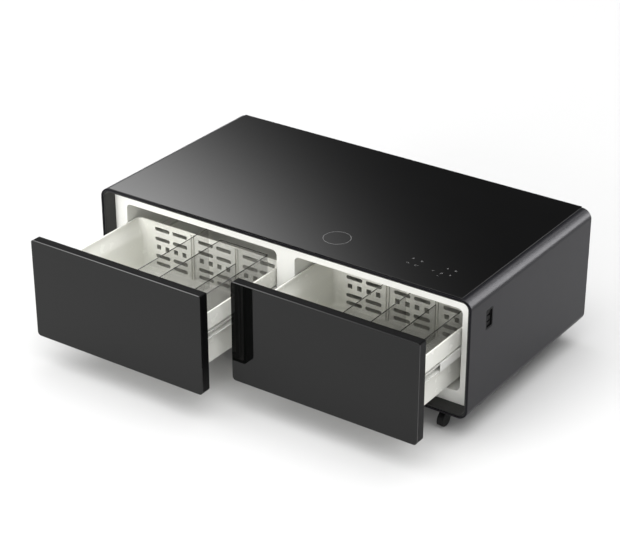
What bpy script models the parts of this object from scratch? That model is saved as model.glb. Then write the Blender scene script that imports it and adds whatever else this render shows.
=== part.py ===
"""Refrigerator coffee table with two drawers on telescopic slides.

A rounded steel cabinet carries a black glass top. Behind its open front a white moulded liner
holds two cooled drawers with glass fronts. The compressor, condenser and fan stand behind the
liner, and the whole table rolls on four swivel casters. Metres, +Z up, +X to the right along
the front, and the front faces -Y. The drawers are modelled as they stand in the photograph,
the left one further out, and the origin is on the floor under the middle of that footprint.
"""
import math

import bmesh
import bpy
from mathutils import Matrix, Vector

# Cabinet
WIDTH = 1.300
DEPTH = 0.700
SHELL_HEIGHT = 0.374
CORNER_RADIUS = 0.0305
SHEET = 0.0015
LIP = 0.006
LIP_DEPTH = 0.010
BEZEL_INSET = 0.012
GLASS_RISE = 0.004
GLASS_HALF_WIDTH = 0.618
CASTER_HEIGHT = 0.0665
GAP = 0.0003

# How far a cutting shape runs past the face that it cuts
PAST = 0.010

# Rear panel, its louvres and the power inlet
PANEL_FRONT = 0.6955
PANEL_REAR = 0.6965
LOUVRE_X = (-0.46, -0.33, 0.33, 0.46)
LOUVRE_ROWS = 10
LOUVRE_PITCH = 0.020
LOUVRE_TOP = 0.078
LOUVRE_SIZE = (0.112, 0.007)
INLET_X = 0.06
INLET_DOWN = 0.320

# Drawers
LEFT_OPEN = 0.348
RIGHT_OPEN = 0.227
FRONT_SETBACK = 0.006
FRONT_CENTRE_X = 0.3158
FRONT_WIDTH = 0.6174
FRONT_TOP = 0.033
FRONT_BOTTOM = 0.347
FRONT_GLASS = 0.005
FRONT_DEPTH = 0.034
GASKET_DEPTH = 0.0115
PANEL_RECESS = 0.011
FRAME_BORDER = 0.010

# Cavities of the liner, measured down from the top of the shell
LINER_FACE = 0.052
CAVITY_CENTRE_X = 0.313
CAVITY_WIDTH = 0.562
CAVITY_TOP = 0.062
CAVITY_BOTTOM = 0.323
CAVITY_BACK = 0.470
CAVITY_RADIUS = 0.016
LINER_WALL = 0.0025
FOAM_BACK = 0.500

# Drawer tub, measured from the face of its own front
TUB_WIDTH = 0.555
TUB_LOWER_WIDTH = 0.518
TUB_BACK = 0.446
TUB_RIM = 0.122
TUB_STEP = 0.176
TUB_FLOOR = 0.286
TUB_WALL = 0.0035

# Telescopic slides
SLIDE_TOP = 0.1785
SLIDE_HEIGHT = 0.035
SLIDE_LENGTH = 0.395
SLIDE_START = 0.054

# Casters
CASTER_X = 0.557
CASTER_SETBACK = 0.062
CASTER_TRAIL = 0.022
WHEEL_RADIUS = 0.024
WHEEL_WIDTH = 0.014

SHELL_BOTTOM = CASTER_HEIGHT
SHELL_TOP = SHELL_BOTTOM + SHELL_HEIGHT
FRONT_Y = -(DEPTH - (LEFT_OPEN - FRONT_SETBACK)) / 2
BACK_Y = FRONT_Y + DEPTH

for old in list(bpy.data.objects):
    bpy.data.objects.remove(old, do_unlink=True)

table = bpy.data.collections.new("refrigerator_coffee_table")
helpers = bpy.data.collections.new("cutters")
for collection in (table, helpers):
    bpy.context.scene.collection.children.link(collection)


def finish(name, colour, roughness, metallic=0.0, alpha=1.0):
    """A Principled material with the piece's own colour, roughness and metallic value."""
    material = bpy.data.materials.new(name)
    material.use_nodes = True
    shader = material.node_tree.nodes["Principled BSDF"]
    shader.inputs["Base Color"].default_value = (*colour, 1.0)
    shader.inputs["Roughness"].default_value = roughness
    shader.inputs["Metallic"].default_value = metallic
    shader.inputs["Alpha"].default_value = alpha
    return material


def down(distance):
    """The height of a point that lies this far below the top of the shell."""
    return SHELL_TOP - distance


def back(distance):
    """The place along Y of a point this far behind the front edge of the shell."""
    return FRONT_Y + distance


BLACK_STEEL = ((0.045, 0.044, 0.048), 0.42, 0.1)
BLACK_PLASTIC = ((0.02, 0.02, 0.021), 0.5)
BLACK_GLASS = ((0.012, 0.012, 0.013), 0.06)
WHITE_PLASTIC = ((0.78, 0.78, 0.72), 0.35)
ZINC = ((0.62, 0.63, 0.65), 0.32, 1.0)
SMOKED_ACRYLIC = ((0.35, 0.34, 0.32), 0.08, 0.0, 0.35)
FOAM = ((0.80, 0.74, 0.52), 0.9)
COPPER = ((0.72, 0.38, 0.24), 0.3, 1.0)
RUBBER = ((0.05, 0.05, 0.05), 0.8)
BOARD = ((0.05, 0.16, 0.09), 0.5)
MATT_BLACK = ((0.03, 0.03, 0.032), 0.6)
LIGHT_BAR = ((0.95, 0.95, 0.9), 0.4)


def place(mesh, name, look, parent=None, location=(0, 0, 0), cutter=False):
    """Puts a mesh in the scene as a named piece, or as a hidden cutter."""
    piece = bpy.data.objects.new(name, mesh)
    (helpers if cutter else table).objects.link(piece)
    piece.location = location
    piece.parent = parent
    if cutter:
        piece.hide_render = True
        piece.display_type = "WIRE"
    else:
        mesh.materials.append(finish(name, *look))
    return piece


def rounded(width, height, radius, centre=(0.0, 0.0), steps=6):
    """Outline of a rounded rectangle, its four arcs each cut into the same number of steps."""
    points = []
    for quarter in range(4):
        side_x = 1 if quarter in (0, 3) else -1
        side_y = 1 if quarter in (0, 1) else -1
        corner = (centre[0] + side_x * (width / 2 - radius),
                  centre[1] + side_y * (height / 2 - radius))
        for step in range(steps + 1):
            angle = (quarter + step / steps) * math.pi / 2
            points.append((corner[0] + radius * math.cos(angle), corner[1] + radius * math.sin(angle)))
    return points


def oblong(width, height, centre):
    """Outline of a sharp rectangle."""
    (x, y), half_x, half_y = centre, width / 2, height / 2
    return [(x - half_x, y - half_y), (x + half_x, y - half_y),
            (x + half_x, y + half_y), (x - half_x, y + half_y)]


def circle(radius, centre=(0.0, 0.0), steps=24):
    """Outline of a circle."""
    turn = 2 * math.pi / steps
    return [(centre[0] + radius * math.cos(i * turn), centre[1] + radius * math.sin(i * turn))
            for i in range(steps)]


def extrude(outlines, axis, start, end):
    """Mesh of flat outlines drawn out along an axis; an outline inside another is a hole.

    Along Y the outline's two numbers are x and z, along X they are y and z, and along Z x and y.
    """
    curve = bpy.data.curves.new("outline", "CURVE")
    curve.dimensions = "2D"
    curve.fill_mode = "BOTH"
    curve.extrude = (end - start) / 2
    for outline in outlines:
        spline = curve.splines.new("POLY")
        spline.points.add(len(outline) - 1)
        for point, (u, v) in zip(spline.points, outline):
            point.co = (u, v, 0.0, 1.0)
        spline.use_cyclic_u = True
    middle = (start + end) / 2
    turns = {
        "X": Matrix(((0, 0, 1, middle), (1, 0, 0, 0), (0, 1, 0, 0), (0, 0, 0, 1))),
        "Y": Matrix(((1, 0, 0, 0), (0, 0, -1, middle), (0, 1, 0, 0), (0, 0, 0, 1))),
        "Z": Matrix.Translation((0, 0, middle)),
    }
    return curve_mesh(curve, turns[axis])


def curve_mesh(curve, matrix=Matrix.Identity(4)):
    """A closed mesh of a curve, its caps welded to its sides."""
    guide = bpy.data.objects.new("guide", curve)
    helpers.objects.link(guide)
    bpy.context.view_layer.update()
    mesh = bpy.data.meshes.new_from_object(guide.evaluated_get(bpy.context.evaluated_depsgraph_get()))
    bpy.data.objects.remove(guide, do_unlink=True)
    shape = bmesh.new()
    shape.from_mesh(mesh)
    bmesh.ops.remove_doubles(shape, verts=shape.verts, dist=0.00001)
    bmesh.ops.transform(shape, matrix=matrix, verts=shape.verts)
    bmesh.ops.recalc_face_normals(shape, faces=shape.faces)
    shape.to_mesh(mesh)
    shape.free()
    return mesh


def block(low, high):
    """Mesh of a box between two corners."""
    mesh = bpy.data.meshes.new("block")
    shape = bmesh.new()
    bmesh.ops.create_cube(shape, size=1.0)
    size = Vector(high) - Vector(low)
    centre = (Vector(high) + Vector(low)) / 2
    bmesh.ops.scale(shape, vec=size, verts=shape.verts)
    bmesh.ops.translate(shape, vec=centre, verts=shape.verts)
    shape.to_mesh(mesh)
    shape.free()
    return mesh


def tube(points, radius, sides=2):
    """Mesh of a round tube along points, closed at both ends."""
    curve = bpy.data.curves.new("route", "CURVE")
    curve.dimensions = "3D"
    curve.bevel_depth = radius
    curve.bevel_resolution = sides
    curve.use_fill_caps = True
    spline = curve.splines.new("POLY")
    spline.points.add(len(points) - 1)
    for point, place_at in zip(spline.points, points):
        point.co = (*place_at, 1.0)
    return curve_mesh(curve)


def bevel(piece, width, segments=2, angle=40):
    """Rounds the sharp edges of a piece."""
    modifier = piece.modifiers.new("rounded_edges", "BEVEL")
    modifier.width = width
    modifier.segments = segments
    modifier.limit_method = "ANGLE"
    modifier.angle_limit = math.radians(angle)
    return piece


def combine(piece, operation, *meshes):
    """Cuts meshes out of a piece, or joins them to it."""
    for number, mesh in enumerate(meshes):
        helper = place(mesh, f"{piece.name}_{operation.lower()}_{number}", None, piece.parent,
                       piece.location, cutter=True)
        modifier = piece.modifiers.new(helper.name, "BOOLEAN")
        modifier.operation = operation
        modifier.solver = "EXACT"
        modifier.object = helper
    return piece


def cut(piece, *meshes):
    """Takes meshes away from a piece."""
    return combine(piece, "DIFFERENCE", *meshes)


def join(piece, *meshes):
    """Makes meshes one body with a piece that they reach into."""
    return combine(piece, "UNION", *meshes)


def revolve(name, profile, look, parent=None, location=(0, 0, 0), axis="Z", steps=24):
    """A turned piece; the profile's radius and height run down the outer side, from the top."""
    mesh = bpy.data.meshes.new(name)
    mesh.from_pydata([(r, 0, h) for r, h in profile], [(i, i + 1) for i in range(len(profile) - 1)], [])
    piece = place(mesh, name, look, parent, location)
    if axis == "X":
        piece.rotation_euler = (0, math.pi / 2, 0)
    screw = piece.modifiers.new("turn", "SCREW")
    screw.axis = "Z"
    screw.steps = steps
    screw.render_steps = steps
    screw.use_merge_vertices = True
    screw.merge_threshold = 0.00005
    screw.use_smooth_shade = True
    return piece


def smooth(piece, angle=35):
    """Shades the round faces of a piece smooth and keeps its edges sharp."""
    piece.data.shade_smooth()
    piece.data.set_sharp_from_angle(angle=math.radians(angle))
    return piece


def empty(name, location, parent=None):
    """A carrier on a joint's axis, for the pieces that move together."""
    carrier = bpy.data.objects.new(name, None)
    table.objects.link(carrier)
    carrier.location = location
    carrier.parent = parent
    return carrier


def cabinet_outline(inset, steps=8):
    """The rounded outline of the cabinet seen from the front, drawn in by an inset."""
    return rounded(WIDTH - 2 * inset, SHELL_HEIGHT - 2 * inset, CORNER_RADIUS - inset,
                   (0, SHELL_BOTTOM + SHELL_HEIGHT / 2), steps)


# Openings in the shell: the charging pad and the touch panel under the glass, and the side socket
PAD_CENTRE = (0.139, back(0.113))
PAD_RADIUS = 0.052
TOUCH_CENTRE = (0.456, back(0.103))
TOUCH_SIZE = (0.176, 0.082)
SOCKET_CENTRE = (back(0.103), down(0.093))
SOCKET_SIZE = (0.037, 0.062)


def build_shell():
    """Folded steel body with a return lip round its open front."""
    shell = place(extrude([cabinet_outline(0)], "Y", FRONT_Y, BACK_Y), "cabinet_shell", BLACK_STEEL)
    pad = extrude([circle(PAD_RADIUS + 0.003, PAD_CENTRE)], "Z", down(PAST), down(-PAST))
    touch = extrude([rounded(TOUCH_SIZE[0] + 0.006, TOUCH_SIZE[1] + 0.006, 0.008, TOUCH_CENTRE, 3)], "Z",
                    down(PAST), down(-PAST))
    socket = extrude([rounded(*SOCKET_SIZE, 0.005, SOCKET_CENTRE, 3)], "X",
                     WIDTH / 2 - PAST, WIDTH / 2 + PAST)
    cut(shell,
        extrude([cabinet_outline(LIP)], "Y", FRONT_Y - PAST, BACK_Y + PAST),
        extrude([cabinet_outline(SHEET)], "Y", FRONT_Y + LIP_DEPTH, BACK_Y + PAST),
        pad, touch, socket)
    smooth(shell)


def build_top():
    """Black glass top that ends where the rounded sides begin, and the two modules under it."""
    size = (2 * GLASS_HALF_WIDTH, DEPTH - 0.002)
    middle = (0, (FRONT_Y + BACK_Y) / 2)
    glass = place(extrude([rounded(*size, 0.003, middle, 2)], "Z", down(-GAP), down(-GLASS_RISE)),
                  "top_glass", BLACK_GLASS)
    bevel(glass, 0.0008, 1, 60)
    pad = place(extrude([circle(PAD_RADIUS, PAD_CENTRE)], "Z", down(0.0055), down(0.0008)),
                "charging_pad", MATT_BLACK)
    ring = extrude([circle(0.044, PAD_CENTRE), circle(0.036, PAD_CENTRE)], "Z", down(0.0018), down(0.0003))
    join(pad, ring)
    smooth(pad)
    board = place(extrude([rounded(*TOUCH_SIZE, 0.006, TOUCH_CENTRE, 3)], "Z", down(0.0050), down(0.0034)),
                  "touch_board", BOARD)
    keys = [circle(0.008, (TOUCH_CENTRE[0] + 0.027 * column, TOUCH_CENTRE[1] + 0.028 * row), 8)
            for column in (-2, 0, 2) for row in (-1, 1)]
    join(board, extrude(keys, "Z", down(0.0040), down(0.0006)))


def build_bezel():
    """Black plastic ring that lines the recess between the shell's lip and the liner."""
    ring = [cabinet_outline(LIP + GAP), cabinet_outline(BEZEL_INSET)]
    smooth(place(extrude(ring, "Y", back(0.003), back(LINER_FACE - 0.0006)), "front_bezel", BLACK_PLASTIC))


def cavity_outline(side, grow=0.0):
    """Front outline of one drawer cavity; side is -1 on the left and 1 on the right."""
    return rounded(CAVITY_WIDTH + 2 * grow, CAVITY_BOTTOM - CAVITY_TOP + 2 * grow, CAVITY_RADIUS + grow,
                   (side * CAVITY_CENTRE_X, down((CAVITY_TOP + CAVITY_BOTTOM) / 2)), 5)


def build_liner():
    """White moulded liner: a flat face frame with two deep pockets for the drawers."""
    face = extrude([cabinet_outline(SHEET + 0.0005)], "Y", back(LINER_FACE), back(LINER_FACE + 0.0035))
    liner = place(face, "inner_liner", WHITE_PLASTIC)
    for side in (-1, 1):
        join(liner, extrude([cavity_outline(side, LINER_WALL)], "Y", back(LINER_FACE + 0.001),
                            back(CAVITY_BACK + LINER_WALL)))
    for side in (-1, 1):
        cut(liner, extrude([cavity_outline(side)], "Y", back(LINER_FACE - PAST), back(CAVITY_BACK)))
    smooth(liner)


EVAPORATOR_SIZE = (0.470, 0.190)
EVAPORATOR_DEPTH = 0.012


def build_foam():
    """Foam that fills the space between shell and liner, with pockets for what it holds."""
    foam = place(extrude([cabinet_outline(SHEET + 0.0008)], "Y", back(LINER_FACE + 0.0038), back(FOAM_BACK)),
                 "foam_insulation", FOAM)
    pockets = []
    for side in (-1, 1):
        pockets.append(extrude([cavity_outline(side, LINER_WALL + GAP)], "Y", back(LINER_FACE),
                               back(CAVITY_BACK + LINER_WALL + GAP)))
        pockets.append(evaporator_block(side, 0.001, back(CAVITY_BACK), EVAPORATOR_DEPTH + 0.006))
    pad = extrude([circle(PAD_RADIUS + 0.004, PAD_CENTRE)], "Z", down(0.008), down(-PAST))
    touch = block((TOUCH_CENTRE[0] - 0.093, TOUCH_CENTRE[1] - 0.046, down(0.008)),
                  (TOUCH_CENTRE[0] + 0.093, TOUCH_CENTRE[1] + 0.046, down(-PAST)))
    socket = block((WIDTH / 2 - 0.034, SOCKET_CENTRE[0] - 0.024, SOCKET_CENTRE[1] - 0.036),
                   (WIDTH / 2 + PAST, SOCKET_CENTRE[0] + 0.024, SOCKET_CENTRE[1] + 0.036))
    cut(foam, *pockets, pad, touch, socket)


def evaporator_block(side, grow, start, depth):
    """Box round one evaporator, behind the back wall of its cavity."""
    half_width = EVAPORATOR_SIZE[0] / 2 + grow
    half_height = EVAPORATOR_SIZE[1] / 2 + grow
    centre_z = down((CAVITY_TOP + CAVITY_BOTTOM) / 2)
    return block((side * CAVITY_CENTRE_X - half_width, start, centre_z - half_height),
                 (side * CAVITY_CENTRE_X + half_width, start + depth, centre_z + half_height))


def serpentine(length, pitch, passes, bend_steps=4):
    """Points of a flat serpentine: straight passes joined by half turns, in its own u, v plane."""
    points = []
    for number in range(passes):
        direction = 1 if number % 2 == 0 else -1
        v = number * pitch
        points.append((-direction * length / 2, v))
        points.append((direction * length / 2, v))
        if number < passes - 1:
            for step in range(1, bend_steps):
                angle = -math.pi / 2 + math.pi * step / bend_steps
                points.append((direction * (length / 2 + math.cos(angle) * pitch / 2),
                               v + pitch / 2 + math.sin(angle) * pitch / 2))
    return points


def build_evaporators():
    """Cold plates with a serpentine channel, one behind each cavity."""
    pitch = 0.042
    centre_z = down((CAVITY_TOP + CAVITY_BOTTOM) / 2)
    start = back(CAVITY_BACK + LINER_WALL + GAP)
    for side, name in ((-1, "evaporator_left"), (1, "evaporator_right")):
        plate = place(evaporator_block(side, 0.0, start, 0.0015), name, ((0.7, 0.71, 0.72), 0.35, 1.0))
        route = [(side * CAVITY_CENTRE_X + u, start + 0.0040, centre_z - 1.5 * pitch + v)
                 for u, v in serpentine(0.38, pitch, 4, 3)]
        join(plate, tube(route, 0.0035, 1))


def build_back():
    """Rear panel with two fields of louvre slots, and the power inlet in it."""
    panel = place(extrude([cabinet_outline(SHEET + 0.0006)], "Y", back(PANEL_FRONT), back(PANEL_REAR)),
                  "rear_panel", BLACK_STEEL)
    slots = [oblong(*LOUVRE_SIZE, (x, down(LOUVRE_TOP + LOUVRE_PITCH * row)))
             for x in LOUVRE_X for row in range(LOUVRE_ROWS)]
    inlet_at = (INLET_X, down(INLET_DOWN))
    hole = [rounded(0.0286, 0.0206, 0.003, inlet_at, 2)]
    cut(panel,
        extrude(slots, "Y", back(PANEL_FRONT - PAST), back(PANEL_REAR + PAST)),
        extrude(hole, "Y", back(PANEL_FRONT - PAST), back(PANEL_REAR + PAST)))
    inlet = place(extrude([rounded(0.028, 0.020, 0.003, inlet_at, 2)], "Y", back(0.668), back(0.6975)),
                  "power_inlet", BLACK_PLASTIC)
    collar = extrude([rounded(0.050, 0.026, 0.004, inlet_at, 2)], "Y", back(0.6968), back(0.6990))
    join(inlet, collar)
    cut(inlet, extrude([rounded(0.0230, 0.0155, 0.002, inlet_at, 2)], "Y", back(0.680), back(0.702)))


def build_socket():
    """Side plate with two charging ports, set flush in the right wall."""
    outline = rounded(SOCKET_SIZE[0] - 2 * GAP, SOCKET_SIZE[1] - 2 * GAP, 0.0047, SOCKET_CENTRE, 3)
    plate = place(extrude([outline], "X", WIDTH / 2 - 0.026, WIDTH / 2), "side_socket", BLACK_PLASTIC)
    well = extrude([rounded(0.028, 0.050, 0.003, SOCKET_CENTRE, 3)], "X", WIDTH / 2 - 0.004, WIDTH / 2 + PAST)
    ports = [rounded(0.0145, 0.0065, 0.001, (SOCKET_CENTRE[0], SOCKET_CENTRE[1] + dz), 2)
             for dz in (-0.009, 0.010)]
    cut(plate, well, extrude(ports, "X", WIDTH / 2 - 0.016, WIDTH / 2))


def build_lights():
    """A light bar under the ceiling of each cavity."""
    for side, name in ((-1, "light_bar_left"), (1, "light_bar_right")):
        x = side * CAVITY_CENTRE_X
        bar = place(block((x - 0.16, back(0.080), down(CAVITY_TOP + 0.0073)),
                          (x + 0.16, back(0.094), down(CAVITY_TOP + GAP))), name, LIGHT_BAR)
        bevel(bar, 0.0015, 2)


MACHINE_FLOOR = SHELL_BOTTOM + SHEET
COMPRESSOR_AT = (0.36, back(0.598))
FAN_AT = (0.02, back(0.598), down(0.215))
FAN_RADIUS = 0.066


def build_machine():
    """Compressor, condenser, drier, lines and control board behind the foam."""
    tray_low = (0.19, back(0.512), MACHINE_FLOOR + GAP)
    tray_high = (0.53, back(0.684), MACHINE_FLOOR + 0.010)
    tray = place(block(tray_low, tray_high), "compressor_tray", ZINC)
    wall = 0.0015
    cut(tray, block([value + wall for value in tray_low],
                    (tray_high[0] - wall, tray_high[1] - wall, tray_high[2] + PAST)))

    x, y = COMPRESSOR_AT
    floor = MACHINE_FLOOR + 0.0125
    can = [(0.0, 0.172), (0.030, 0.169), (0.052, 0.156), (0.064, 0.122), (0.064, 0.087), (0.068, 0.086),
           (0.068, 0.080), (0.064, 0.079), (0.064, 0.044), (0.056, 0.020), (0.0, 0.008)]
    compressor = revolve("compressor", can, MATT_BLACK, None, (x, y, floor), steps=16)
    foot = extrude([rounded(0.200, 0.120, 0.015, steps=3)], "Z", 0.006, 0.010)
    studs = [circle(0.008, (sx * 0.085, sy * 0.045), 12) for sx in (-1, 1) for sy in (-1, 1)]
    terminals = block((-0.030, 0.056, 0.070), (0.030, 0.078, 0.120))
    join(compressor, foot, extrude(studs, "Z", -0.0105, 0.0075), terminals)

    fins_x = (-0.33, -0.09)
    middle = (fins_x[0] + fins_x[1]) / 2
    passes = serpentine(fins_x[1] - fins_x[0] - 0.034, 0.034, 8, 3)
    coil = [(middle + u, back(0.565), down(0.345) + v) for u, v in passes]
    far = [(middle + u, back(0.630), down(0.345) + v) for u, v in reversed(passes)]
    smooth(place(tube(coil + far, 0.0038, 1), "condenser_coil", MATT_BLACK))

    drier = [(0.0, 0.060), (0.003, 0.060), (0.003, 0.050), (0.009, 0.042), (0.009, -0.042), (0.003, -0.050),
             (0.003, -0.060), (0.0, -0.060)]
    revolve("filter_drier", drier, COPPER, None, (0.15, back(0.520), down(0.280)), steps=12)

    board = place(block((-0.60, back(0.506), down(0.300)), (-0.44, back(0.5076), down(0.190))),
                  "power_board", BOARD)
    parts = [block((-0.59, back(0.507), down(0.290)), (-0.55, back(0.535), down(0.250))),
             block((-0.53, back(0.507), down(0.240)), (-0.50, back(0.525), down(0.200))),
             block((-0.485, back(0.507), down(0.285)), (-0.455, back(0.520), down(0.215)))]
    join(board, *parts)


def build_fan():
    """Condenser fan: a square frame with struts to its motor, and a seven-blade rotor."""
    half = FAN_RADIUS + 0.006
    outlines = [rounded(2 * half, 2 * half, 0.010, (FAN_AT[1], FAN_AT[2]), 3),
                circle(FAN_RADIUS, (FAN_AT[1], FAN_AT[2]), 32)]
    frame = place(extrude(outlines, "X", FAN_AT[0] - 0.019, FAN_AT[0] + 0.019), "fan_frame", BLACK_PLASTIC)
    hub = extrude([circle(0.020, (FAN_AT[1], FAN_AT[2]))], "X", FAN_AT[0] + 0.0125, FAN_AT[0] + 0.0185)
    bars = [block((FAN_AT[0] + 0.014, FAN_AT[1] - 0.004, FAN_AT[2] - FAN_RADIUS - 0.003),
                  (FAN_AT[0] + 0.018, FAN_AT[1] + 0.004, FAN_AT[2] + FAN_RADIUS + 0.003)),
            block((FAN_AT[0] + 0.0142, FAN_AT[1] - FAN_RADIUS - 0.003, FAN_AT[2] - 0.004),
                  (FAN_AT[0] + 0.0178, FAN_AT[1] + FAN_RADIUS + 0.003, FAN_AT[2] + 0.004))]
    leg = block((FAN_AT[0] - 0.019, FAN_AT[1] - 0.030, MACHINE_FLOOR + GAP),
                (FAN_AT[0] + 0.019, FAN_AT[1] + 0.030, FAN_AT[2] - half + 0.002))
    join(frame, hub, *bars, leg)
    smooth(frame)

    axle = empty("fan_axle", FAN_AT)
    rotor = place(extrude([circle(0.021)], "X", -0.012, 0.012), "fan_rotor", MATT_BLACK, axle)
    join(rotor, *[fan_blade(number * 2 * math.pi / 7) for number in range(7)])
    smooth(rotor)


def fan_blade(turn):
    """A blade whose sections twist from hub to tip, lofted between five stations."""
    shape = bmesh.new()
    rings = []
    for station in range(5):
        share = station / 4
        radius = 0.018 + share * 0.044
        pitch = math.radians(50 - 22 * share)
        chord = 0.0125 + 0.0055 * share
        ring = []
        for along, thick in ((-1, -0.4), (1, -0.4), (1, 0.4), (-1, 0.4)):
            sideways = along * chord * math.cos(pitch) - thick * 0.0015 * math.sin(pitch)
            axial = along * chord * 0.6 * math.sin(pitch) + thick * 0.0015 * math.cos(pitch)
            ring.append(shape.verts.new((axial, sideways, radius)))
        rings.append(ring)
    for lower, upper in zip(rings, rings[1:]):
        for side in range(4):
            shape.faces.new((lower[side], lower[(side + 1) % 4], upper[(side + 1) % 4], upper[side]))
    shape.faces.new(rings[0][::-1])
    shape.faces.new(rings[-1])
    bmesh.ops.rotate(shape, matrix=Matrix.Rotation(turn, 3, "X"), verts=shape.verts)
    bmesh.ops.recalc_face_normals(shape, faces=shape.faces)
    mesh = bpy.data.meshes.new("blade")
    shape.to_mesh(mesh)
    shape.free()
    return mesh


def build_caster(name, x, y):
    """Swivel caster: bolted plate, hooded fork on its bearing, and a wheel that trails it."""
    plate = place(extrude([rounded(0.058, 0.058, 0.008, (x, y), 3)], "Z",
                          SHELL_BOTTOM - 0.0033, SHELL_BOTTOM - GAP), f"caster_plate_{name}", ZINC)
    join(plate, extrude([circle(0.016, (x, y), 16)], "Z", SHELL_BOTTOM - 0.0085, SHELL_BOTTOM - 0.0030))

    swivel = empty(f"caster_swivel_{name}", (x, y, 0))
    inner, outer = WHEEL_WIDTH / 2 + 0.0008, WHEEL_WIDTH / 2 + 0.0032
    fork = place(extrude([fork_outline()], "X", -outer, outer), f"caster_fork_{name}", MATT_BLACK, swivel)
    cut(fork, extrude([circle(WHEEL_RADIUS + 0.0014, (-CASTER_TRAIL, WHEEL_RADIUS), 20)], "X", -inner, inner),
        block((-inner, -CASTER_TRAIL - 0.060, -0.010), (inner, -CASTER_TRAIL + 0.026, WHEEL_RADIUS)),
        extrude([circle(0.0043, (-CASTER_TRAIL, WHEEL_RADIUS), 12)], "X", -outer - PAST, outer + PAST))
    smooth(fork)

    half = WHEEL_WIDTH / 2
    side = [(0.0, outer), (0.0038, outer), (0.0038, half), (0.0150, half), (0.0170, half - 0.002),
            (0.0210, half), (WHEEL_RADIUS, half - 0.003)]
    profile = side + [(radius, -across) for radius, across in reversed(side)]
    revolve(f"caster_wheel_{name}", profile, RUBBER, swivel, (0, -CASTER_TRAIL, WHEEL_RADIUS), "X", 20)


def fork_outline():
    """Side view of the hooded fork: an arc over the wheel that runs up to the flat crown."""
    crown = SHELL_BOTTOM - 0.0088
    radius = WHEEL_RADIUS + 0.0035
    lower = [(-CASTER_TRAIL + 0.007 * math.cos(a), WHEEL_RADIUS + 0.007 * math.sin(a))
             for a in [math.pi * (1.25 + 0.5 * step / 3) for step in range(4)]]
    over = [(-CASTER_TRAIL + radius * math.cos(a), WHEEL_RADIUS + radius * math.sin(a))
            for a in [math.radians(200 - 110 * step / 7) for step in range(8)]]
    neck = [(-0.015, crown), (0.015, crown), (0.016, crown - 0.006), (0.008, 0.030)]
    return (lower + neck[::-1] + over[::-1])[::-1]


def build_casters():
    """Four casters, two at each end, all trailing towards the front."""
    for row, y in (("front", back(CASTER_SETBACK)), ("rear", BACK_Y - CASTER_SETBACK)):
        for hand, x in (("left", -CASTER_X), ("right", CASTER_X)):
            build_caster(f"{row}_{hand}", x, y)


def channel(side, spine, reach, half_height, thickness, centre_z):
    """Section of a slide member: an upright spine with two lips that reach towards the drawer."""
    lips = [(spine, half_height), (reach, half_height), (reach, half_height - thickness),
            (spine - thickness, half_height - thickness), (spine - thickness, thickness - half_height),
            (reach, thickness - half_height), (reach, -half_height), (spine, -half_height)]
    return [(side * x, centre_z + z) for x, z in lips]


def build_slide(drawer, hand, side, x, open_by, carrier):
    """One telescopic slide: outer rail on the liner, middle rail, inner rail on the tub."""
    centre_z = down(SLIDE_TOP + SLIDE_HEIGHT / 2)
    start = back(FRONT_SETBACK + SLIDE_START)
    wall = CAVITY_WIDTH / 2
    outer = channel(side, wall - GAP, wall - 0.0130, SLIDE_HEIGHT / 2, 0.0013, centre_z)
    outer = [(x + u, v) for u, v in outer]
    place(extrude([outer], "Y", start, start + SLIDE_LENGTH), f"slide_outer_{drawer}_{hand}", ZINC)
    middle = channel(side, wall - 0.0024, wall - 0.0145, SLIDE_HEIGHT / 2 - 0.0026, 0.0013, centre_z)
    rides = empty(f"slide_middle_travel_{drawer}_{hand}", (x, start - open_by / 2, 0))
    place(extrude([middle], "Y", 0, SLIDE_LENGTH), f"slide_middle_{drawer}_{hand}", ZINC, rides)
    inner = channel(-side, -(TUB_LOWER_WIDTH / 2 + GAP), -(wall - 0.0048), SLIDE_HEIGHT / 2 - 0.0062,
                    0.0016, centre_z)
    place(extrude([inner], "Y", SLIDE_START, SLIDE_START + SLIDE_LENGTH),
          f"slide_inner_{drawer}_{hand}", ZINC, carrier)


def front_outline(inset=0.0):
    """Outline of a drawer front, its lower corners rounder than its upper ones."""
    half = FRONT_WIDTH / 2 - inset
    top, bottom = down(FRONT_TOP + inset), down(FRONT_BOTTOM - inset)
    points = []
    corners = ((1, top, 0.005, 0), (-1, top, 0.005, 1), (-1, bottom, 0.012, 2), (1, bottom, 0.012, 3))
    for sx, z, radius, first in corners:
        corner = (sx * (half - radius), z - radius if z == top else z + radius)
        for step in range(5):
            angle = (first + step / 4) * math.pi / 2
            points.append((corner[0] + radius * math.cos(angle), corner[1] + radius * math.sin(angle)))
    return points


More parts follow.
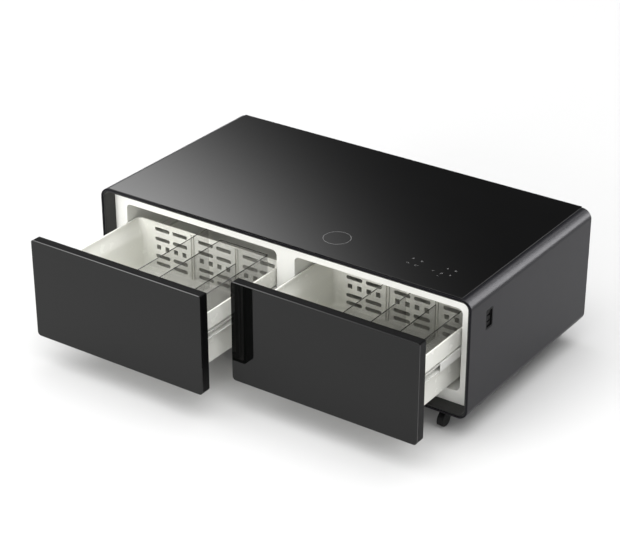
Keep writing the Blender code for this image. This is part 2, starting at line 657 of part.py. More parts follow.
def build_front(side, carrier):
    """Drawer front: glass face, deep black frame, insulated inner panel and magnetic gasket."""
    glass = place(extrude([front_outline()], "Y", 0, FRONT_GLASS), f"front_glass_{side}", BLACK_GLASS, carrier)
    bevel(glass, 0.0006, 1, 60)
    frame = place(extrude([front_outline(0.0004)], "Y", FRONT_GLASS + GAP, FRONT_DEPTH),
                  f"front_frame_{side}", BLACK_STEEL, carrier)
    centre = (0, down((FRONT_TOP + FRONT_BOTTOM) / 2))
    width, height = FRONT_WIDTH, FRONT_BOTTOM - FRONT_TOP
    pocket = 2 * FRAME_BORDER
    cut(frame, extrude([rounded(width - pocket, height - pocket, 0.006, centre, 3)], "Y",
                       PANEL_RECESS, FRONT_DEPTH + PAST))
    fits = pocket + 2 * GAP
    panel = place(extrude([rounded(width - fits, height - fits, 0.0057, centre, 3)], "Y",
                          PANEL_RECESS + GAP, FRONT_DEPTH), f"inner_panel_{side}", WHITE_PLASTIC, carrier)
    groove = [rounded(width - 0.030, height - 0.030, 0.010, centre, 3),
              rounded(width - 0.066, height - 0.066, 0.006, centre, 3)]
    cut(panel, extrude(groove, "Y", FRONT_DEPTH - 0.003, FRONT_DEPTH + PAST))
    seal = [rounded(width - 0.034, height - 0.034, 0.012, centre, 4),
            rounded(width - 0.060, height - 0.060, 0.006, centre, 4)]
    place(extrude(seal, "Y", FRONT_DEPTH - 0.0027, FRONT_DEPTH + GASKET_DEPTH),
          f"gasket_{side}", RUBBER, carrier)


SLOT_COLUMNS = (-0.185, -0.117, -0.018, 0.050, 0.149, 0.217)
SLOT_ROWS = (0.146, 0.179, 0.238, 0.264)
HOLE_COLUMNS = (-0.200, -0.167, -0.134, -0.101, -0.034, 0.0, 0.033, 0.066, 0.133, 0.167, 0.200, 0.233)
HOLE_ROW = 0.207
RIB_COLUMNS = (-0.072, -0.063, 0.095, 0.104)


def build_tub(side, carrier):
    """Moulded tub: a wide upper part over the slides, a narrower body, and a vented back wall."""
    front = FRONT_DEPTH + GAP
    length = TUB_BACK - front
    middle_y = (TUB_BACK + front) / 2
    upper = extrude([rounded(TUB_WIDTH, length, 0.020, (0, middle_y), 5)], "Z", down(TUB_STEP), down(TUB_RIM))
    lower = extrude([rounded(TUB_LOWER_WIDTH, length - 0.004, 0.018, (0, middle_y), 5)], "Z", down(TUB_FLOOR),
                    down(TUB_STEP - 0.002))
    tub = place(upper, f"drawer_tub_{side}", WHITE_PLASTIC, carrier)
    join(tub, lower)
    wall = 2 * TUB_WALL
    cut(tub,
        extrude([rounded(TUB_WIDTH - wall, length - wall, 0.0165, (0, middle_y), 5)], "Z",
                down(TUB_STEP - TUB_WALL), down(0.10)),
        extrude([rounded(TUB_LOWER_WIDTH - wall, length - 0.004 - wall, 0.0145, (0, middle_y), 5)], "Z",
                down(TUB_FLOOR - TUB_WALL), down(TUB_STEP - 0.010)))
    vents = [rounded(0.056, 0.013, 0.0055, (x, down(z)), 1) for x in SLOT_COLUMNS for z in SLOT_ROWS]
    vents += [oblong(0.016, 0.016, (x, down(HOLE_ROW))) for x in HOLE_COLUMNS]
    cut(tub, extrude(vents, "Y", TUB_BACK - 0.012, TUB_BACK + 0.010))
    ribs = [block((x - 0.0015, TUB_BACK - 0.0085, down(TUB_FLOOR - 0.001)),
                  (x + 0.0015, TUB_BACK - 0.0025, down(TUB_RIM + 0.004))) for x in RIB_COLUMNS]
    join(tub, *ribs)
    smooth(tub)


DIVIDER_X = (0.0, 0.101)
TRAY_START = {"left": 0.084, "right": 0.094}
TRAY_WIDTH = 0.174
TRAY_Y = (0.046, 0.387)
TRAY_TOP = 0.077
LEDGE = TUB_STEP - TUB_WALL


def build_insert(side, carrier):
    """Smoked acrylic inserts: a divider rack on the floor and an open tray on the tub's ledge."""
    floor = down(TUB_FLOOR - TUB_WALL) + GAP
    first, last = FRONT_DEPTH + 0.006, TUB_BACK - 0.012
    tall, short = DIVIDER_X
    rack = place(block((tall - 0.0015, first, floor), (tall + 0.0015, last, down(TRAY_TOP + 0.005))),
                 f"divider_rack_{side}", SMOKED_ACRYLIC, carrier)
    join(rack, block((short - 0.0015, first, floor), (short + 0.0015, last, down(LEDGE + 0.0006))),
         block((tall, 0.215, floor), (short, 0.218, down(LEDGE + 0.010))))
    centre = (TRAY_START[side] + TRAY_WIDTH / 2, (TRAY_Y[0] + TRAY_Y[1]) / 2)
    size = (TRAY_WIDTH, TRAY_Y[1] - TRAY_Y[0])
    tray = place(extrude([rounded(*size, 0.006, centre, 3)], "Z", down(LEDGE) + GAP, down(TRAY_TOP)),
                 f"upper_tray_{side}", SMOKED_ACRYLIC, carrier)
    cut(tray, extrude([rounded(size[0] - 0.006, size[1] - 0.006, 0.003, centre, 3)], "Z",
                      down(LEDGE - 0.003), down(TRAY_TOP - PAST)))
    smooth(tray)


def build_drawer(side, sign, open_by):
    """One drawer with its front, tub, inserts and two slides."""
    carrier = empty(f"drawer_travel_{side}", (sign * CAVITY_CENTRE_X, back(FRONT_SETBACK - open_by), 0))
    front = empty(f"drawer_face_{side}", (sign * (FRONT_CENTRE_X - CAVITY_CENTRE_X), 0, 0), carrier)
    build_front(side, front)
    build_tub(side, carrier)
    build_insert(side, carrier)
    for hand, way in (("l", -1), ("r", 1)):
        build_slide(side, hand, way, sign * CAVITY_CENTRE_X, open_by, carrier)


build_shell()
build_top()
build_bezel()
build_liner()
build_foam()
build_evaporators()
build_back()
build_socket()
build_lights()
build_machine()
build_fan()
build_casters()
build_drawer("left", -1, LEFT_OPEN)
build_drawer("right", 1, RIGHT_OPEN)
bpy.context.view_layer.update()
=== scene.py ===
"""The looks of a refrigerator coffee table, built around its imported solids.

Every shape is a skin: a grid of rings worked out with numpy, whose rows run along a profile and whose
columns run round an outline, with outlines let into it as holes. Metres, +Z up, front towards -Y.
"""
import math

import bmesh
import bpy
import numpy as np
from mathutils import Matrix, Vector


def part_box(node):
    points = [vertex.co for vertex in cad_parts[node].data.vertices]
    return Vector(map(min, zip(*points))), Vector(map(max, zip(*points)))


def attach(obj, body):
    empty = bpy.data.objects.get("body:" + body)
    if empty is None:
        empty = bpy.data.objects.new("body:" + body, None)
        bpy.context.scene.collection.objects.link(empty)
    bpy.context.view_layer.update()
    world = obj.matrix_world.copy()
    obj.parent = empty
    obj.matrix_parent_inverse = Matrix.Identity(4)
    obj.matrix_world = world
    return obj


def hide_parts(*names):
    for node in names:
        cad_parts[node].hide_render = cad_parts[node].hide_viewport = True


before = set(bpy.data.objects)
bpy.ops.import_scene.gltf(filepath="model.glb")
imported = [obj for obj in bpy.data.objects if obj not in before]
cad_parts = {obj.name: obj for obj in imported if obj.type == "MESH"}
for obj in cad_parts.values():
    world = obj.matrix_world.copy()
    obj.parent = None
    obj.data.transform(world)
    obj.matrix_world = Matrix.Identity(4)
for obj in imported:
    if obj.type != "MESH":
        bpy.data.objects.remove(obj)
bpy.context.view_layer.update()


# The steel body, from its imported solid
BODY_LOW, BODY_HIGH = (np.array(corner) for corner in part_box("cabinet_shell"))
WIDTH, _, HEIGHT = BODY_HIGH - BODY_LOW
TOP, BOTTOM = BODY_HIGH[2], BODY_LOW[2]
FRONT, BACK = BODY_LOW[1], BODY_HIGH[1]
CORNER = 0.0305
SHEET = 0.0015
LIP = 0.006
LIP_DEPTH = 0.010


def down(distance):
    """Height of a point this far below the top of the body."""
    return TOP - distance


def back(distance):
    """Place along Y of a point this far behind the front edge of the body."""
    return FRONT + distance


# Places of what is let into the body
PAD_CENTRE = (0.139, back(0.113))
TOUCH_CENTRE = (0.456, back(0.103))
SOCKET_CENTRE = (back(0.103), down(0.093))
INLET_CENTRE = (0.06, down(0.320))
CAVITY_X = 0.313
FRONT_WIDTH, FRONT_HEIGHT, FRONT_MIDDLE = 0.6174, 0.314, down(0.190)
PORT_WIDTH, PORT_HEIGHT, PORT_PLACES = 0.0145, 0.0065, (-0.009, 0.010)

# The shapes


def rounded(width, height, radius, centre=(0.0, 0.0), steps=8, stops=((), (), (), ())):
    """Rounded rectangle as an (n, 2) array, anticlockwise from the middle of its lower left corner.

    A corner's point is its centre + radius * (cos t, sin t) over a quarter turn. Stops are further points
    along the bottom, right, top and left side, in the order in which the outline meets them.
    """
    radii = np.broadcast_to(radius, 4)
    parts = []
    for number, (sx, sy) in enumerate(((-1, -1), (1, -1), (1, 1), (-1, 1))):
        t = np.pi * (1 + number / 2) + np.linspace(0, np.pi / 2, steps + 1)
        r = radii[number]
        parts.append(np.stack([sx * (width / 2 - r) + r * np.cos(t) + centre[0],
                               sy * (height / 2 - r) + r * np.sin(t) + centre[1]], 1))
        along = np.array(stops[number], float)
        across = np.full(len(along), (sy if number % 2 == 0 else sx) * (height, width)[number % 2] / 2
                         + centre[1 - number % 2])
        parts.append(np.stack((along, across) if number % 2 == 0 else (across, along), 1))
    return np.roll(np.concatenate(parts), -(steps // 2), axis=0)


def circle(radius, centre, quarter=8):
    """Circle as an (n, 2) array, anticlockwise from its lower left: centre + radius * (cos t, sin t)."""
    t = np.pi * 1.25 + np.linspace(0, 2 * np.pi, 4 * quarter, endpoint=False)
    return np.stack([radius * np.cos(t), radius * np.sin(t)], 1) + centre


def arc(radius, start, end, centre=(0, 0), steps=16):
    """Points of an arc: centre + radius * (cos t, sin t), from one angle to another in degrees."""
    t = np.radians(np.linspace(start, end, steps + 1))
    return np.stack([centre[0] + radius * np.cos(t), centre[1] + radius * np.sin(t)], 1)


def at(outline, axis, place):
    """An outline in space: its two numbers are y and z across X, x and z across Y, or x and y across Z."""
    u, v = np.asarray(outline, float).T
    w = np.full(len(u), float(place))
    return np.stack({"X": (w, u, v), "Y": (u, w, v), "Z": (u, v, w)}[axis], 1)


def slab(outline_at, low, high, axis, edge, steps):
    """Rings of a slab with rounded rims, from outline_at(inset).

    At angle t a rim's ring lies edge * (1 - cos t) off the face and is drawn in by edge * (1 - sin t).
    """
    t = np.linspace(0, np.pi / 2, steps + 1)
    run = np.stack([edge * (1 - np.sin(t)), edge * (1 - np.cos(t))], 1)
    rows = [(inset, low + rise) for inset, rise in run] + [(inset, high - rise) for inset, rise in run[::-1]]
    return [at(outline_at(inset), axis, place) for inset, place in rows]


def upright(low, high, radius, steps, rows):
    """Rings of an upright piece between two corners, from pairs of inset and height."""
    size, middle = high - low, (high + low) / 2
    return [at(rounded(size[0] - 2 * i, size[1] - 2 * i, radius - i, middle[:2], steps), "Z", z) for i, z in rows]


class Skin:
    """The points and faces of one piece, gathered sheet by sheet."""

    def __init__(self):
        self.points = np.zeros((0, 3))
        self.faces = []

    def add(self, points):
        """Takes in points and returns their numbers, in the same rows and columns."""
        points = np.asarray(points, float)
        first = len(self.points)
        self.points = np.concatenate([self.points, points.reshape(-1, 3)])
        return first + np.arange(points.size // 3).reshape(points.shape[:-1])

    def quads(self, grid):
        """Four-sided faces between neighbouring rows and columns of a grid of point numbers."""
        cells = np.stack([grid[:-1, :-1], grid[:-1, 1:], grid[1:, 1:], grid[1:, :-1]], -1)
        self.faces += cells.reshape(-1, 4).tolist()

    def sheet(self, rings, caps=(False, False), loop=False, round_it=True, holes=()):
        """A grid of rings, closed round each ring, with a flat cap on its first and last if asked.

        loop joins the last ring to the first. A hole is (first row, last row, first column, last column,
        outline): its cells stay out and span() fills the space round the outline. Returns the grid of
        numbers and those of each outline.
        """
        grid = self.add(rings)
        whole = np.concatenate([grid, grid[:, :1]], 1) if round_it else grid
        whole = np.concatenate([whole, whole[:1]], 0) if loop else whole
        keep = np.ones((whole.shape[0] - 1, whole.shape[1] - 1), bool)
        outlines = []
        for low, high, first, last, outline in holes:
            keep[low:high, first:last] = False
            border = np.concatenate([whole[low, first:last], whole[low:high, last],
                                     whole[high, first + 1:last + 1][::-1], whole[low + 1:high + 1, first][::-1]])
            outlines.append(self.add(outline))
            self.span(border, outlines[-1])
        cells = np.stack([whole[:-1, :-1], whole[:-1, 1:], whole[1:, 1:], whole[1:, :-1]], -1)
        self.faces += cells[keep].tolist()
        for wanted, ring in zip(caps, (grid[0], grid[-1])):
            if wanted:
                self.faces.append(ring.tolist())
        return grid, outlines

    def span(self, border, outline, corners=None):
        """Fills the flat space between a border and an outline inside it with four faces.

        Each face lies between two corners of the outline and the points of the border nearest to them.
        """
        a, b = self.points[border], self.points[outline]
        turn = [np.cross(ring - ring.mean(0), np.roll(ring, -1, 0) - ring.mean(0)).sum(0) for ring in (a, b)]
        if turn[0] @ turn[1] < 0:
            border, a = border[::-1], a[::-1]
        count = len(outline)
        corners = [count // 4 * number for number in range(4)] if corners is None else corners
        near = [int(np.argmin(np.linalg.norm(a - b[corner], axis=1))) for corner in corners]
        for number in range(4):
            following = (number + 1) % 4
            outer = (near[following] - near[number]) % len(border)
            inner = (corners[following] - corners[number]) % count
            outer_way = border[(near[number] + np.arange(outer + 1)) % len(border)]
            inner_way = outline[(corners[number] + np.arange(inner, -1, -1)) % count]
            self.faces.append(outer_way.tolist() + inner_way.tolist())

    def join(self, first, second):
        """A wall of four-sided faces between two rings of point numbers."""
        self.quads(np.stack([np.append(first, first[0]), np.append(second, second[0])]))

    def block(self, low, high, edge=0.0006):
        """A slab between two corners, its upright corners and its rims rounded by an edge."""
        low, high = np.array(low, float), np.array(high, float)
        size, middle = high - low, (high + low) / 2
        axis = int(np.argmin(size))
        a, b = (i for i in range(3) if i != axis)
        edge = min(edge, size[axis] * 0.45)

        def outline_at(inset):
            return rounded(size[a] - 2 * inset, size[b] - 2 * inset, max(edge * 1.5 - inset, edge * 0.5),
                           (middle[a], middle[b]), 2)

        self.sheet(slab(outline_at, low[axis], high[axis], "XYZ"[axis], edge, 2), (True, True))

    def turn(self, profile, centre, axis, steps):
        """A turned shape with a flat cap at each end.

        Point (r, h) of the profile at angle t lies r * (cos t, sin t) across the axis and h along it.
        """
        r, h = np.asarray(profile, float).T[:, :, None]
        t = np.linspace(0, 2 * np.pi, steps, endpoint=False)
        rings = np.zeros((len(r), steps, 3))
        first, second, along = {"X": (1, 2, 0), "Y": (2, 0, 1), "Z": (0, 1, 2)}[axis]
        rings[..., first], rings[..., second], rings[..., along] = r * np.cos(t), r * np.sin(t), h
        self.sheet(rings + np.asarray(centre, float), (True, True))


def piece(name, skin, look, body, slot, nodes=(), sharp=35, bevel=0.0, weld=0.00002):
    """Puts a skin into the scene as a finished piece.

    Doubles are merged, faces turned outwards, round parts shaded smooth up to an angle in degrees, and
    the flats keep their own shading next to rounded edges.
    """
    mesh = bpy.data.meshes.new(name)
    mesh.from_pydata(skin.points.tolist(), [], skin.faces)
    shape = bmesh.new()
    shape.from_mesh(mesh)
    bmesh.ops.remove_doubles(shape, verts=shape.verts, dist=weld)
    bmesh.ops.recalc_face_normals(shape, faces=shape.faces)
    shape.to_mesh(mesh)
    shape.free()
    mesh.shade_smooth()
    mesh.set_sharp_from_angle(angle=math.radians(sharp))
    mesh.materials.append(look)
    made = bpy.data.objects.new(name, mesh)
    bpy.context.scene.collection.objects.link(made)
    if bevel:
        modifier = made.modifiers.new("eased_edges", "BEVEL")
        modifier.width = bevel
        modifier.segments = 2
        modifier.limit_method = "ANGLE"
        modifier.angle_limit = math.radians(50)
        modifier.use_clamp_overlap = False
    modifier = made.modifiers.new("flat_faces", "WEIGHTED_NORMAL")
    modifier.keep_sharp = True
    modifier.weight = 100
    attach(made, body)
    if nodes:
        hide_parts(*nodes)
    return made


def capped(name, rings, look, body, slot, node, **options):
    """A finished piece made of one sheet with a flat cap at each end."""
    skin = Skin()
    skin.sheet(rings, (True, True))
    piece(name, skin, look, body, slot, [node], **options)


# The finishes


def finish(name, colour, roughness, metallic=0.0, mottle=0.12, mottle_scale=9.0, grain=0.0, grain_scale=900.0,
           uneven=0.05, uneven_scale=30.0, stretch=(1, 1, 1), alpha=1.0, **constants):
    """A Principled material whose colour, roughness and bump each come from noise on Object coordinates."""
    material = bpy.data.materials.new(name)
    material.use_nodes = True
    nodes, links = material.node_tree.nodes, material.node_tree.links
    shader = nodes["Principled BSDF"]
    shader.inputs["Metallic"].default_value = metallic
    shader.inputs["Alpha"].default_value = alpha
    for socket, value in constants.items():
        shader.inputs[socket.replace("_", " ")].default_value = value
    place = nodes.new("ShaderNodeTexCoord")
    mapping = nodes.new("ShaderNodeMapping")
    mapping.inputs["Scale"].default_value = stretch
    links.new(place.outputs["Object"], mapping.inputs["Vector"])

    def noise(scale, detail):
        node = nodes.new("ShaderNodeTexNoise")
        node.inputs["Scale"].default_value = scale
        node.inputs["Detail"].default_value = detail
        links.new(mapping.outputs["Vector"], node.inputs["Vector"])
        return node

    mix = nodes.new("ShaderNodeMix")
    mix.data_type = "RGBA"
    mix.inputs["A"].default_value = (*(c * (1 - mottle) for c in colour), 1)
    mix.inputs["B"].default_value = (*(min(1.0, c * (1 + mottle)) for c in colour), 1)
    links.new(noise(mottle_scale, 4).outputs["Fac"], mix.inputs["Factor"])
    links.new(mix.outputs["Result"], shader.inputs["Base Color"])
    spread = nodes.new("ShaderNodeMapRange")
    spread.inputs["To Min"].default_value = max(0.0, roughness - uneven)
    spread.inputs["To Max"].default_value = roughness + uneven
    links.new(noise(uneven_scale, 5).outputs["Fac"], spread.inputs["Value"])
    links.new(spread.outputs["Result"], shader.inputs["Roughness"])
    if grain:
        bump = nodes.new("ShaderNodeBump")
        bump.inputs["Strength"].default_value = grain
        bump.inputs["Distance"].default_value = 0.0004
        links.new(noise(grain_scale, 3).outputs["Fac"], bump.inputs["Height"])
        links.new(bump.outputs["Normal"], shader.inputs["Normal"])
    return material


STEEL = finish("black_satin_steel", (0.0045, 0.0044, 0.0056), 0.32, mottle=0.10, grain=0.05, grain_scale=1400,
               uneven=0.03, Specular_IOR_Level=0.17, Specular_Tint=(0.95, 0.94, 1.0, 1.0))
TOP_GLASS = finish("black_top_glass", (0.0012, 0.0012, 0.0013), 0.035, mottle=0.3, uneven=0.02, uneven_scale=6)
FRONT_GLASS = finish("black_front_glass", (0.0016, 0.0017, 0.0016), 0.03, mottle=0.2, uneven=0.015,
                     uneven_scale=7, Specular_IOR_Level=0.30)
BLACK_PLASTIC = finish("black_moulded_plastic", (0.0075, 0.0075, 0.0072), 0.5, mottle=0.15, grain=0.25)
FRONT_BLACK = finish("black_front_frame", (0.0016, 0.0016, 0.0018), 0.42, mottle=0.12, grain=0.12,
                     Specular_IOR_Level=0.10)
LINER_WHITE = finish("white_liner", (0.80, 0.80, 0.765), 0.30, mottle=0.025, mottle_scale=5, grain=0.05,
                     grain_scale=700)
TUB_WHITE = finish("white_tub", (0.78, 0.78, 0.73), 0.26, mottle=0.03, mottle_scale=6, grain=0.06, grain_scale=600)
SMOKED = finish("smoked_acrylic", (0.060, 0.058, 0.052), 0.05, mottle=0.08, uneven=0.03, alpha=0.14)
# Dark, nearly opaque finish for the acrylic rims: partly the sheet's tint seen through more of it, partly painted
# shade along the edges
SMOKED_EDGE_PAINTED_SHADE = finish("smoked_acrylic_edge_painted_shade", (0.030, 0.029, 0.026), 0.12, mottle=0.10, uneven=0.04, alpha=0.80)
SEAL = finish("grey_seal", (0.28, 0.28, 0.275), 0.6, mottle=0.08, grain=0.2)
ZINC = finish("bright_zinc", (0.62, 0.63, 0.65), 0.30, 1.0, mottle=0.10, mottle_scale=60, grain=0.12,
              grain_scale=260, uneven=0.10, uneven_scale=180, stretch=(1, 0.06, 1))
RAIL = finish("pale_zinc_rail", (0.74, 0.74, 0.71), 0.42, 0.15, mottle=0.06, mottle_scale=50, grain=0.08,
              grain_scale=260, uneven=0.08, uneven_scale=150, stretch=(1, 0.06, 1))
CASTER_BLACK = finish("caster_black", (0.0030, 0.0030, 0.0033), 0.45, mottle=0.15, grain=0.2,
                      Specular_IOR_Level=0.2)
RUBBER = finish("wheel_rubber", (0.0060, 0.0060, 0.0062), 0.72, mottle=0.2, mottle_scale=80, grain=0.35,
                grain_scale=1600)
ENAMEL = finish("black_enamel", (0.022, 0.022, 0.024), 0.3, mottle=0.1, grain=0.15, grain_scale=500)
FOAM = finish("pale_foam", (0.80, 0.74, 0.52), 0.9, mottle=0.12, mottle_scale=120, grain=0.7, grain_scale=500)
COPPER = finish("drawn_copper", (0.72, 0.38, 0.24), 0.28, 1.0, mottle=0.15, mottle_scale=70, uneven=0.1)
COLD_PLATE = finish("rolled_aluminium", (0.72, 0.73, 0.74), 0.34, 1.0, mottle=0.06, stretch=(1, 1, 0.08),
                    uneven=0.1, uneven_scale=200)
BOARD = finish("circuit_board", (0.03, 0.14, 0.07), 0.4, mottle=0.5, mottle_scale=260, grain=0.3)
PAD = finish("pad_black", (0.02, 0.02, 0.02), 0.6, mottle=0.2, grain=0.3)
DIFFUSER = finish("light_diffuser", (0.92, 0.92, 0.88), 0.5, mottle=0.02, grain=0.3, grain_scale=1200,
                  Emission_Color=(1.0, 0.97, 0.9, 1.0), Emission_Strength=1.5)
INK = finish("white_ink", (0.16, 0.16, 0.16), 0.5, mottle=0.1, mottle_scale=300)

# The cabinet

# Lines of the steel's grid, with its holes between them: along X, along Z, and behind the front edge
TOP_STOPS = (0.600, 0.556, 0.356, 0.200, 0.078, 0.0)
SIDE_STOPS = (SOCKET_CENTRE[1] - 0.036, SOCKET_CENTRE[1] + 0.036)
TOP_ROWS = (0.051, 0.175)
SIDE_ROWS = (0.079, 0.127)


def body_outline(inset):
    """The cabinet's rounded outline seen from the front, drawn in by an inset."""
    return rounded(WIDTH - 2 * inset, HEIGHT - 2 * inset, CORNER - inset, (0, (TOP + BOTTOM) / 2), 16,
                   ((0.0,), SIDE_STOPS, TOP_STOPS, ()))


def column_of(outline, axis, value):
    """Number of the outline's point at a value on an axis, on the side where the other number is greatest."""
    return int(np.argmin(np.abs(outline[:, axis] - value) * 1000 - outline[:, 1 - axis]))


def steel_body():
    """Folded steel body: an outline carried along a section that turns in at the front as a lip.

    The section is pairs of place along Y and inset: outer face from front to back, back edge, inner
    face, and the lip's two folds.
    """
    bend = 0.0022
    outer = [(FRONT + bend * (1 - math.cos(a)), bend * (1 - math.sin(a))) for a in np.radians((0, 30, 60, 90))]
    lines = [back(d) for d in (0.004, *sorted(TOP_ROWS + SIDE_ROWS), 0.30, 0.45, 0.60, 0.690)]
    inner_bend = [(FRONT + LIP_DEPTH + 0.002, SHEET), (FRONT + LIP_DEPTH, SHEET + 0.002)]
    lip = [(FRONT + LIP_DEPTH, LIP - 0.0004), (FRONT + LIP_DEPTH - 0.0004, LIP), (FRONT + 0.0010, LIP),
           (FRONT + 0.0003, LIP - 0.0003), (FRONT, LIP - 0.0010)]
    section = outer + [(y, 0.0) for y in lines] + [(BACK - 0.0004, 0.0), (BACK, 0.0004), (BACK, SHEET)]
    section += [(y, SHEET) for y in lines[::-1][:-1]] + inner_bend + lip
    ring = body_outline(0.0)
    rows = {round(y, 6): number for number, (y, inset) in enumerate(section) if inset == 0.0}
    inner_rows = {round(y, 6): number for number, (y, inset) in enumerate(section)
                  if inset == SHEET and number > len(outer) + len(lines) + 2}
    columns = {x: column_of(ring, 0, x) for x in TOP_STOPS}
    sides = [column_of(ring, 1, z) for z in SIDE_STOPS]

    def holes(depth, rows_at):
        on_top, on_side = ([rows_at[round(back(d), 6)] for d in between] for between in (TOP_ROWS, SIDE_ROWS))
        top, side = TOP - depth, WIDTH / 2 - depth
        pairs = [(on_top, (columns[0.200], columns[0.078]), at(circle(0.055, PAD_CENTRE), "Z", top)),
                 (on_top, (columns[0.556], columns[0.356]),
                  at(rounded(0.182, 0.088, 0.008, TOUCH_CENTRE), "Z", top)),
                 (on_side, sides, at(rounded(0.037, 0.062, 0.005, SOCKET_CENTRE), "X", side))]
        return [(min(r), max(r), min(c), max(c), outline) for r, c, outline in pairs]

    skin = Skin()
    rings = [at(body_outline(inset), "Y", y) for y, inset in section]
    _, outlines = skin.sheet(rings, loop=True, holes=holes(0.0, rows) + holes(SHEET, inner_rows))
    for outside, inside in zip(outlines[:3], outlines[3:]):
        skin.join(outside, inside)
    return piece("steel_body", skin, STEEL, "cabinet", "black_steel", ["cabinet_shell"])


def glass_top():
    """Glass slab with a flat polished arris along its rims."""
    low, high = (np.array(c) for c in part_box("top_glass"))
    rows = [(0.0006, low[2]), (0.0, low[2] + 0.0006), (0.0, high[2] - 0.0007), (0.0002, high[2] - 0.0003),
            (0.0006, high[2] - 0.00006)]
    capped("glass_top", upright(low, high, 0.0035, 6, rows), TOP_GLASS, "cabinet", "top_glass", "top_glass",
           sharp=25)


def recess_lining():
    """Black ring between the lip and the liner, its front rim rounded."""
    inner, outer = 0.012, LIP + 0.0003
    y0, y1 = back(0.003), back(0.0514)
    section = [(outer, y1), (outer, y0 + 0.001), (outer + 0.0004, y0 + 0.0003), (outer + 0.001, y0),
               (inner - 0.002, y0), (inner - 0.0006, y0 + 0.0006), (inner, y0 + 0.002), (inner, y1)]
    skin = Skin()
    skin.sheet([at(body_outline(inset), "Y", y) for inset, y in section], loop=True)
    piece("recess_lining", skin, BLACK_PLASTIC, "cabinet", "black_plastic", ["front_bezel"])


def cavity_outline(side, grow):
    """Front outline of one drawer cavity, let out by a distance."""
    return rounded(0.562 + 2 * grow, 0.261 + 2 * grow, 0.016 + grow, (side * CAVITY_X, down(0.1925)), 10)


def liner():
    """White liner: a face with two mouths that turn in on a radius, and a deep pocket behind each."""
    skin = Skin()
    face_y, rear_y, wall, lead = back(0.052), back(0.0555), 0.0025, 0.002
    pocket_y, pocket_bend = back(0.458), 0.012
    outer = body_outline(SHEET + 0.0005)
    rim, _ = skin.sheet([at(body_outline(SHEET + 0.0009), "Y", face_y), at(outer, "Y", face_y + 0.0004),
                         at(outer, "Y", rear_y)])
    for side in (-1, 1):
        for ring_numbers, grow, y in ((rim[0], lead, face_y), (rim[-1], wall, rear_y)):
            half = ring_numbers[side * skin.points[ring_numbers, 0] >= -1e-9]
            skin.span(half, skin.add(at(cavity_outline(side, grow), "Y", y)))
        inside = [(lead * (1 - math.sin(a)), face_y + lead * (1 - math.cos(a)))
                  for a in np.radians(np.linspace(0, 90, 7))]
        inside += [(0.0, back(0.25)), (0.0, pocket_y)]
        inside += [(-pocket_bend * (1 - math.cos(a)), pocket_y + pocket_bend * math.sin(a))
                   for a in np.radians((22.5, 45, 67.5, 90))]
        skin.sheet([at(cavity_outline(side, g), "Y", y) for g, y in inside], (False, True))
        outside = [(wall, rear_y), (wall, back(0.4725))]
        skin.sheet([at(cavity_outline(side, g), "Y", y) for g, y in outside], (False, True))
    piece("liner", skin, LINER_WHITE, "cabinet", "white_plastic", ["inner_liner"], sharp=40)


